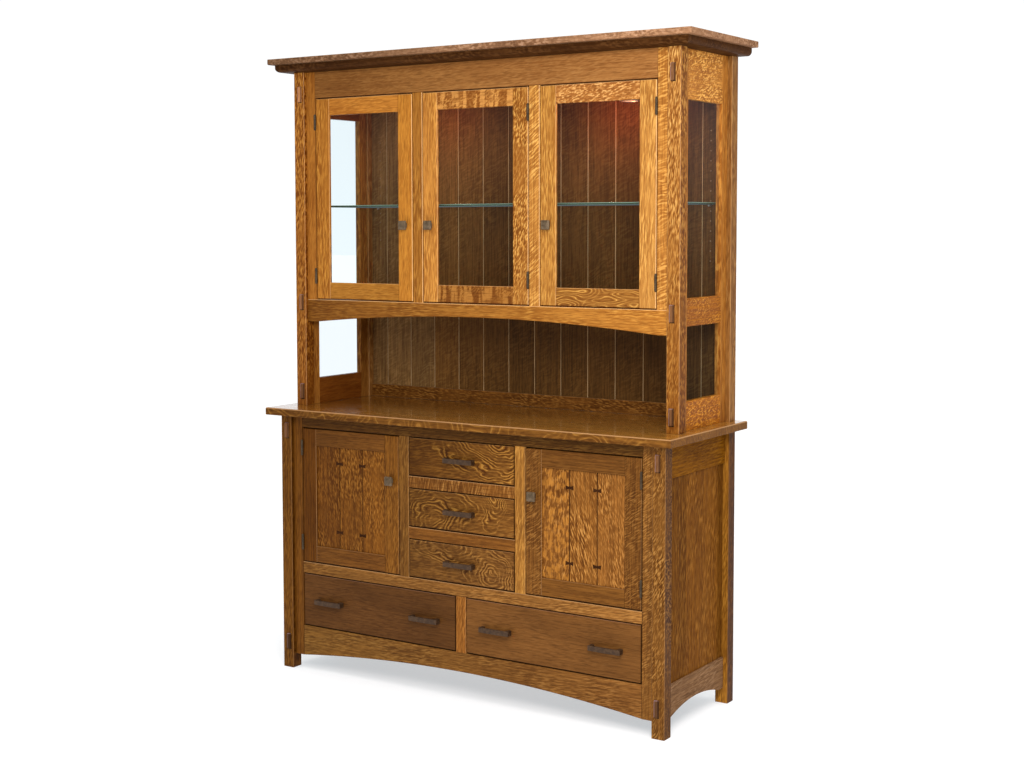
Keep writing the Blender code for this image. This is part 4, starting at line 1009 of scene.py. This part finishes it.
# The frieze is painted darker towards the left, with a painted shadow line along its lower edge over the
# doors. The arched rail is painted darker towards the left, with a painted highlight on its top edge and a
# painted shade along its arch.
parts += [
    member(0, -OPENINGS_HALF, OPENINGS_HALF, GLASS_DOOR_HIGH, FRIEZE_TOP, face, "honey_plain",
           [(0.46, 0.49, 0.70), (0.76, 0.87, 1.52)], [(2, -1, -1.0)]),
    member(0, -FRAME_HALF, FRAME_HALF, ARCH_RAIL_LOW, GLASS_DOOR_LOW, face, "honey",
           [(0.36, 0.34, 0.28), (0.95, 1.0, 0.98)], [(2, -1, -0.4), (2, 1, LIT)],
           arch=arc(OPENINGS_HALF, HUTCH_ARCH_RISE, ARCH_RAIL_LOW)),
]
make_piece("hutch_face_frame", parts)

# %% [markdown]
# ## The back of the hutch
# Planks stand side by side with a rounded arris, and a thin pale spline closes each joint. A rail covers
# their feet. The rear pins of the glass shelf stand in the planks, in a column of small brass sleeves that
# let the shelf be moved. The planks are painted paler towards the left, as light coming in through the left
# end's glass, and the three at that end greyer, as painted cool light from the same side. Their arrises get
# a painted shade line.

# %% Planks
PLANK, PLANK_GAP, SPLINE_HALF = 0.1054, 0.0005, 0.0024
BACK_RAIL, BACK_RAIL_HIGH = 0.008, 0.045
SLEEVE_HALF, SLEEVE_STEP, PINS_FROM_POST = 0.0025, 0.032, 0.039
edges = [-FRAME_HALF, *(PLANK * i for i in range(-6, 7)), FRAME_HALF]
parts = []
for left, right in zip(edges, edges[1:]):
    # A chance tone for each plank, times painted light that grows towards the left; the leftmost three also
    # get painted cool light.
    tone = np.interp(left, (-0.55, -0.1), (1.62, 0.92)) * (1.0 + rng.uniform(-0.1, 0.1))
    cool_light = np.array((1.12, 1.32, 1.8)) if left < -0.45 else np.ones(3)
    tones = [tone * cool_light * (1.03, 1.03, 0.92), tone * cool_light * (1.03, 0.97, 0.92)]
    parts.append(board(2, (left + PLANK_GAP, PLANKS_FRONT, HUTCH_LOW),
                       (right - PLANK_GAP, PLANKS_BACK, HUTCH_HIGH), "back", tones, arris=0.0020, wear=-0.3))
for x in edges[1:-1]:
    parts.append(board(2, (x - SPLINE_HALF, PLANKS_FRONT + 0.0006, HUTCH_LOW),
                       (x + SPLINE_HALF, PLANKS_FRONT + 0.004, HUTCH_HIGH), "spline", arris=0.0004))
parts.append(board(0, (SEAT - FRAME_HALF, PLANKS_FRONT - BACK_RAIL, HUTCH_LOW),
                   (FRAME_HALF - SEAT, PLANKS_FRONT, HUTCH_LOW + BACK_RAIL_HIGH), "brown_fleck", 0.75))
for side in (-1, 1):
    x = side * (POSTS_INSIDE - PINS_FROM_POST)
    parts.append(pin((x, PLANKS_FRONT), (0, -1)))
    for z in np.arange(GLASS_DOOR_LOW + 0.14, GLASS_DOOR_HIGH - 0.12, SLEEVE_STEP):
        parts.append(board(1, (x - SLEEVE_HALF, PLANKS_FRONT - 0.0004, z - SLEEVE_HALF),
                           (x + SLEEVE_HALF, PLANKS_FRONT + 0.001, z + SLEEVE_HALF), "sleeve", arris=0.0024,
                           ends=0.0003))
make_piece("hutch_back", parts, ending="planks")

# %% [markdown]
# ## Ceiling and lamps
# Two flat lamps hang under the ceiling board, each a steel rim round a warm lens. The light itself comes from
# unseen lamps nearby: a red glow close to the planks, weaker on the left, and a wide warm wash across them.

# %% Lathe
LATHE_STEPS = 48
UP = np.array((0.0, 0.0, 1.0))


def turned(profile, centre, finish):
    """A profile of radii and heights, turned about the vertical through centre: (r cos a, r sin a, z).

    The normal is the profile's own step (dr, dz) turned outwards: (dz cos a, dz sin a, -dr).
    """
    r, z = np.array(profile, float).T[..., None, None]
    angle = np.linspace(0, math.tau, LATHE_STEPS, endpoint=False)
    outward = np.stack((np.cos(angle), np.sin(angle), np.zeros(LATHE_STEPS)), -1)
    points = np.array((*centre, 0.0)) + r * outward + z * UP
    normals = np.gradient(z, axis=0) * outward - np.gradient(r, axis=0) * UP
    return skin(points, normals, UP, points, np.zeros(points.shape[:2]), finish, 1.0)


# %% Ceiling board with its lamps
LAMP_X, LAMP_Y, LAMP_DEEP = 0.405, HUTCH_FRONT + 0.315, 0.021
ceiling_low, ceiling_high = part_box("hutch_ceiling")
board_low = GLASS_DOOR_HIGH - 0.018
parts = [board(0, (SEAT - END_INSIDE, ceiling_low.y, board_low),
               (END_INSIDE - SEAT, ceiling_high.y, GLASS_DOOR_HIGH), "honey", 0.9, arris=0.0006)]
for side, word, glow_x, glow_watts in ((-1, "left", -0.33, 0.5), (1, "right", 0.37, 1.7)):
    centre, low = (side * LAMP_X, LAMP_Y), board_low - LAMP_DEEP
    rim = [(0.0285, low + 0.004), (0.0285, low + 0.0005), (0.029, low), (0.0325, low), (0.0345, low + 0.001),
           (0.035, low + 0.003), (0.035, board_low - 0.0002), (0.0345, board_low)]
    lens = [(0.001, low + 0.0035), (0.028, low + 0.0035), (0.0284, low + 0.005), (0.001, low + 0.006)]
    parts += [turned(rim, centre, "lamp_rim"), turned(lens, centre, "lens")]
    aimed(f"puck_{word}", "POINT", (glow_x, PLANKS_FRONT - 0.16, 1.925), (glow_x, 0.0, 0.0), glow_watts,
          (1.0, 0.2, 0.08), shadow_soft_size=0.035)
    aimed(f"wash_{word}", "SPOT", (side * 0.3, -0.085, 1.935), (side * 0.3, 0.24, 1.48), 1.7,
          (1.0, 0.82, 0.5), spot_size=math.radians(140), spot_blend=1.0, shadow_soft_size=0.03)
make_piece("hutch_ceiling", parts, ending="board")

# %% [markdown]
# ## Doors
# A door is two stiles, two rails and what they hold. The stiles run through and the rails are fitted between
# them. Glazed doors keep their pane as a solid, and cupboard doors hold three boards tied by butterfly keys
# of dark wood.

# %% Door frames
PANE, PANE_LIP, RABBET = 0.003, 0.008, 0.009
BLOCK_HALF, BLOCK_HIGH = 0.015, 0.006


def door_frame(name, bay, z_low, z_high, face, figures, slot):
    """Left stile, right stile, low rail and high rail, each with the figure and tone given for it.

    A glazed frame has a lip before its pane, and behind the lip its members are narrower by the rabbet. Four
    blocks on the walls of the rabbet hold the pane.
    """
    left, right = bay_edges(bay)
    x0, x1, z0, z1 = left + REVEAL, right - REVEAL, z_low + REVEAL, z_high - REVEAL
    inner0, inner1 = x0 + DOOR_FRAME, x1 - DOOR_FRAME
    back, glazed = face + BOARD, slot == "oak"
    # The grain's axis, two corners, the inner side, the painted light of the inner and outer side (a highlight
    # above 0, a shade line below), the outer arris
    places = (
        (2, (x0, z0), (inner0, z1), 0, 1, 0.5, -0.3, 0.0018),
        (2, (inner1, z0), (x1, z1), 0, -1, -0.4, 1.0 if glazed else 0.3, 0.0018),
        (0, (inner0, z0), (inner1, z0 + DOOR_FRAME), 2, 1, 0.3, -1.0, 0.0030),
        (0, (inner0, z1 - DOOR_FRAME), (inner1, z1), 2, -1, -0.4, 0.7 if glazed else -0.5, 0.0018),
    )
    parts = []
    for place, (finish, tone) in zip(places, figures):
        along, low, high, axis, inward, inner_light, outer_light, arris = place
        low, high = np.array((low[0], face, low[1])), np.array((high[0], back, high[1]))
        free = [(axis, inward, inner_light), (axis, -inward, outer_light, arris)]
        # A stile's foot gets a painted shadow line, and its top a painted highlight on a glazed door and a
        # painted shade on a cupboard door.
        ends = {"ends": 0.0026, "end_wear": (-1.0, 0.5 if glazed else -0.5)} if along == 2 else {}
        if not glazed:
            parts.append(board(along, low, high, finish, tone, free=free, **ends))
            continue
        start = rng.uniform(0, 8, 3)
        lip_high, rear_low, rear_high = high.copy(), low.copy(), high.copy()
        lip_high[1] = rear_low[1] = face + PANE_LIP
        (rear_high if inward > 0 else rear_low)[axis] -= inward * RABBET
        parts.append(board(along, low, lip_high, finish, tone, free=free, joined=(1, 1), start=start, **ends))
        parts.append(board(along, rear_low, rear_high, finish, tone, free=(), start=start))
    if glazed:
        low, high = z0 + DOOR_FRAME - RABBET, z1 - DOOR_FRAME + RABBET
        rear = face + PANE_LIP + PANE + 2 * SEAT
        for x in (0.75 * inner0 + 0.25 * inner1, 0.25 * inner0 + 0.75 * inner1):
            for foot in (low, high - BLOCK_HIGH):
                parts.append(board(0, (x - BLOCK_HALF, rear, foot),
                                   (x + BLOCK_HALF, back - SEAT, foot + BLOCK_HIGH), "honey_plain", 0.8))
    make_piece(f"{name}_frame", parts, name)


# Each member's finish and tone. The tones hold stain together with painted light, falling off towards the
# left: the left doors darker than the right ones.
GLASS_DOORS = {
    "glass_door_left": (("honey", (0.82, 0.83, 0.71)), ("honey_plain", (0.98, 1.02, 0.84)),
                        ("honey_plain", (0.75, 0.81, 0.72)), ("honey_plain", (1.0, 1.02, 0.95))),
    "glass_door_centre": (("honey", (1.0, 1.08, 1.22)), ("honey_worm", (0.78, 0.82, 0.9)),
                          ("honey_bands", (0.51, 0.49, 0.50)), ("honey_bands", (0.79, 0.82, 1.03))),
    "glass_door_right": (("honey", (0.91, 1.05, 1.24)), ("honey", (1.02, 1.22, 1.66)),
                         ("honey_swirl", (0.62, 0.66, 0.75)), ("honey_fleck", (0.88, 0.93, 1.38))),
}
for bay, (name, figures) in enumerate(GLASS_DOORS.items()):
    door_frame(name, bay, GLASS_DOOR_LOW, GLASS_DOOR_HIGH, HUTCH_FACE, figures, "oak")

CUPBOARD_DOORS = {
    "cupboard_door_left": (("brown_plain", (0.50, 0.44, 0.21)), ("brown", (0.84, 0.84, 0.64)),
                           ("brown_plain", [0.55, 0.75]), ("brown_plain", [0.5, 0.65])),
    "cupboard_door_right": (("brown_curls", (0.76, 0.79, 0.85)), ("brown_curls", (0.71, 0.73, 0.76)),
                            ("brown_plain", (0.75, 0.78, 0.8)), ("brown_plain", (0.72, 0.75, 0.8))),
}
for bay, (name, figures) in zip((0, 2), CUPBOARD_DOORS.items()):
    door_frame(name, bay, CUPBOARD_LOW, CUPBOARD_HIGH, BASE_FACE, figures, "dark_oak")

# %% [markdown]
# A butterfly key is a double dovetail let in across a joint. It is drawn as six corners and given a depth.
# Each joint is a narrow gap between two boards, with a dark strip at the bottom of it.

# %% Keys and panels
KEY_HALF, KEY_HALF_HIGH, KEY_WAIST = 0.014, 0.0065, 0.003
DOOR_PANEL, GAP_HALF, STRIP_HALF, STRIP_DEEP = 0.009, 0.0022, 0.003, 0.0012
KEY_FROM_RAIL = 0.056


def prism(outline, front, back, finish):
    """An outline of X and Z corners, carried from back to front.

    The normal of a side is its step (dx, dz) turned outwards: (dz, -dx).
    """
    outline = np.array(outline, float)
    step = np.roll(outline, -1, 0) - outline
    points = np.zeros((2, len(outline), 3))
    points[..., (0, 2)] = outline
    points[..., 1] = ((back,), (front,))
    normals = np.zeros_like(points)
    normals[..., 0], normals[..., 2] = step[:, 1], -step[:, 0]
    grain, painted_edge_light = points + rng.uniform(0, 8, 3), np.zeros(points.shape[:2])
    return skin(points, normals, (0, -1, 0), grain, painted_edge_light, finish, 1.0, sharp=True)


def butterfly(x, z, face):
    lower = [(x - KEY_HALF, z - KEY_HALF_HIGH), (x, z - KEY_WAIST), (x + KEY_HALF, z - KEY_HALF_HIGH)]
    upper = [(u, 2 * z - v) for u, v in reversed(lower)]
    return prism(lower + upper, face - 0.0005, face + 0.0045, "key_wood")


def door_panel(name, bay, figures):
    """Three boards with open joints, a dark strip at the bottom of each joint, and four keys."""
    low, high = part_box(f"{name}_panel")
    face, back = BASE_FACE + PANEL_SUNK, BASE_FACE + PANEL_SUNK + DOOR_PANEL
    middle, sight = sum(bay_edges(bay)) / 2, BAY / 2 - REVEAL - DOOR_FRAME
    joints = [middle - sight / 3, middle + sight / 3]
    sight_low, sight_high = CUPBOARD_LOW + REVEAL + DOOR_FRAME, CUPBOARD_HIGH - REVEAL - DOOR_FRAME
    edges = [low.x, *joints, high.x]
    parts = []
    for x0, x1, (finish, tone) in zip(edges, edges[1:], figures):
        parts.append(board(2, (x0 + GAP_HALF, face, low.z), (x1 - GAP_HALF, back, high.z), finish, tone,
                           free=()))
    for x in joints:
        parts.append(board(2, (x - STRIP_HALF, face + STRIP_DEEP, low.z), (x + STRIP_HALF, back, high.z),
                           "joint", free=()))
        parts += [butterfly(x, z, face) for z in (sight_low + KEY_FROM_RAIL, sight_high - KEY_FROM_RAIL)]
    make_piece(f"{name}_panel", parts, name)


# The tones hold stain together with painted light: the left door's boards darker than the right's, as the
# light falls off to the left.
PANELS = {
    "cupboard_door_left": (("brown_fleck", (0.62, 0.57, 0.40)), ("brown_fleck", (0.72, 0.68, 0.48)),
                           ("brown_fleck", (0.80, 0.76, 0.54))),
    "cupboard_door_right": (("brown_flakes", (1.08, 1.1, 1.14)), ("brown_right", (1.1, 1.13, 1.16)),
                            ("brown_left", (1.16, 1.2, 1.3))),
}
for bay, (name, figures) in zip((0, 2), PANELS.items()):
    door_panel(name, bay, figures)

# %% [markdown]
# ## Drawers
# A drawer is a thick front and a thin box. The front carries the figure that the eye meets first, so each one
# has its own. The box is paler, because it is only lacquered.

# %% Drawers
BOX_WALL, BOX_SIDE_GAP, BOX_TOP_GAP, DRAWER_DEEP = 0.012, 0.004, 0.018, 0.430
BOTTOM_LOW, BOTTOM_HIGH = 0.010, 0.016


def drawer(name, left, right, low, opening, finish, tone):
    """The front, both sides, the rear wall and the bottom of the box."""
    x0, x1 = left + REVEAL + BOX_SIDE_GAP, right - REVEAL - BOX_SIDE_GAP
    inner0, inner1 = x0 + BOX_WALL, x1 - BOX_WALL
    foot, top = low + SEAT, low + opening - BOX_TOP_GAP
    front, rear = BASE_FACE + BOARD, BASE_FACE + DRAWER_DEEP
    # The front gets a painted highlight on its top edge, and a painted shade line along its foot and at both
    # ends.
    parts = [
        member(0, left + REVEAL, right - REVEAL, low + REVEAL, low + opening - REVEAL, BASE_FACE, finish,
               tone, [(2, 1, 0.3), (2, -1, -1.0, 0.003)], arris=0.002, ends=0.0019, end_wear=(-0.6, -0.6),
               centred=True),
        board(1, (x0, front, foot), (inner0, rear, top), "drawer_box"),
        board(1, (inner1, front, foot), (x1, rear, top), "drawer_box"),
        board(0, (inner0, rear - BOX_WALL, foot), (inner1, rear, top), "drawer_box"),
        board(0, (inner0, front, foot + BOTTOM_LOW), (inner1, rear - BOX_WALL, foot + BOTTOM_HIGH),
              "drawer_box", arris=0.0005),
    ]
    make_piece(name, parts, name)


# The tones hold each front's stain together with painted light: each drawer front darker at its left end, and
# the left wide drawer darker than the right, as the light falls off to the left.
DRAWER_LOOKS = {
    "drawer_top": ("brown_fan", [(0.38, 0.37, 0.26), (0.92, 0.98, 0.95)]),
    "drawer_middle": ("brown_oval", [(0.51, 0.54, 0.50), (0.93, 1.0, 1.04)]),
    "drawer_bottom": ("brown_eye", [(0.54, 0.59, 0.68), (0.81, 0.88, 1.12)]),
}
for low, (name, look) in zip(drawer_lows, DRAWER_LOOKS.items()):
    drawer(name, *bay_edges(1), low, DRAWER_OPENING, *look)
drawer("wide_drawer_left", -OPENINGS_HALF, -MULLION / 2, APRON_TOP, WIDE_OPENING, "dusk", (0.7, 0.7, 0.62))
drawer("wide_drawer_right", MULLION / 2, OPENINGS_HALF, APRON_TOP, WIDE_OPENING, "dusk", (1.16, 1.2, 1.03))

# %% [markdown]
# ## Solids that keep their shape
# Panes, shelf, hardware and hidden boards are right as they are, and only get their finish.

# %% Finishes for the kept solids
kept = {
    "pane": [name for name in nodes if name.endswith("_pane") or name.startswith("side_glass_upper")],
    "low_pane": [name for name in nodes if name.startswith("side_glass_lower")],
    "shelf": ["glass_shelf"],
    "pewter": [name for name in nodes if name.endswith("knob")],
    "bronze": [name for name in nodes if "pull" in name],
    "hinge": [name for name in nodes if "hinge" in name],
    "inside_x": ["hutch_deck", "cupboard_floor", "base_floor", "base_back"],
    "inside_y": ["partition_left", "partition_right", "drawer_divider"],
}
for finish, names in kept.items():
    for name in names:
        nodes[name].data.materials.clear()
        nodes[name].data.materials.append(finishes[finish])
    print(finish, "on", len(names), "solids")
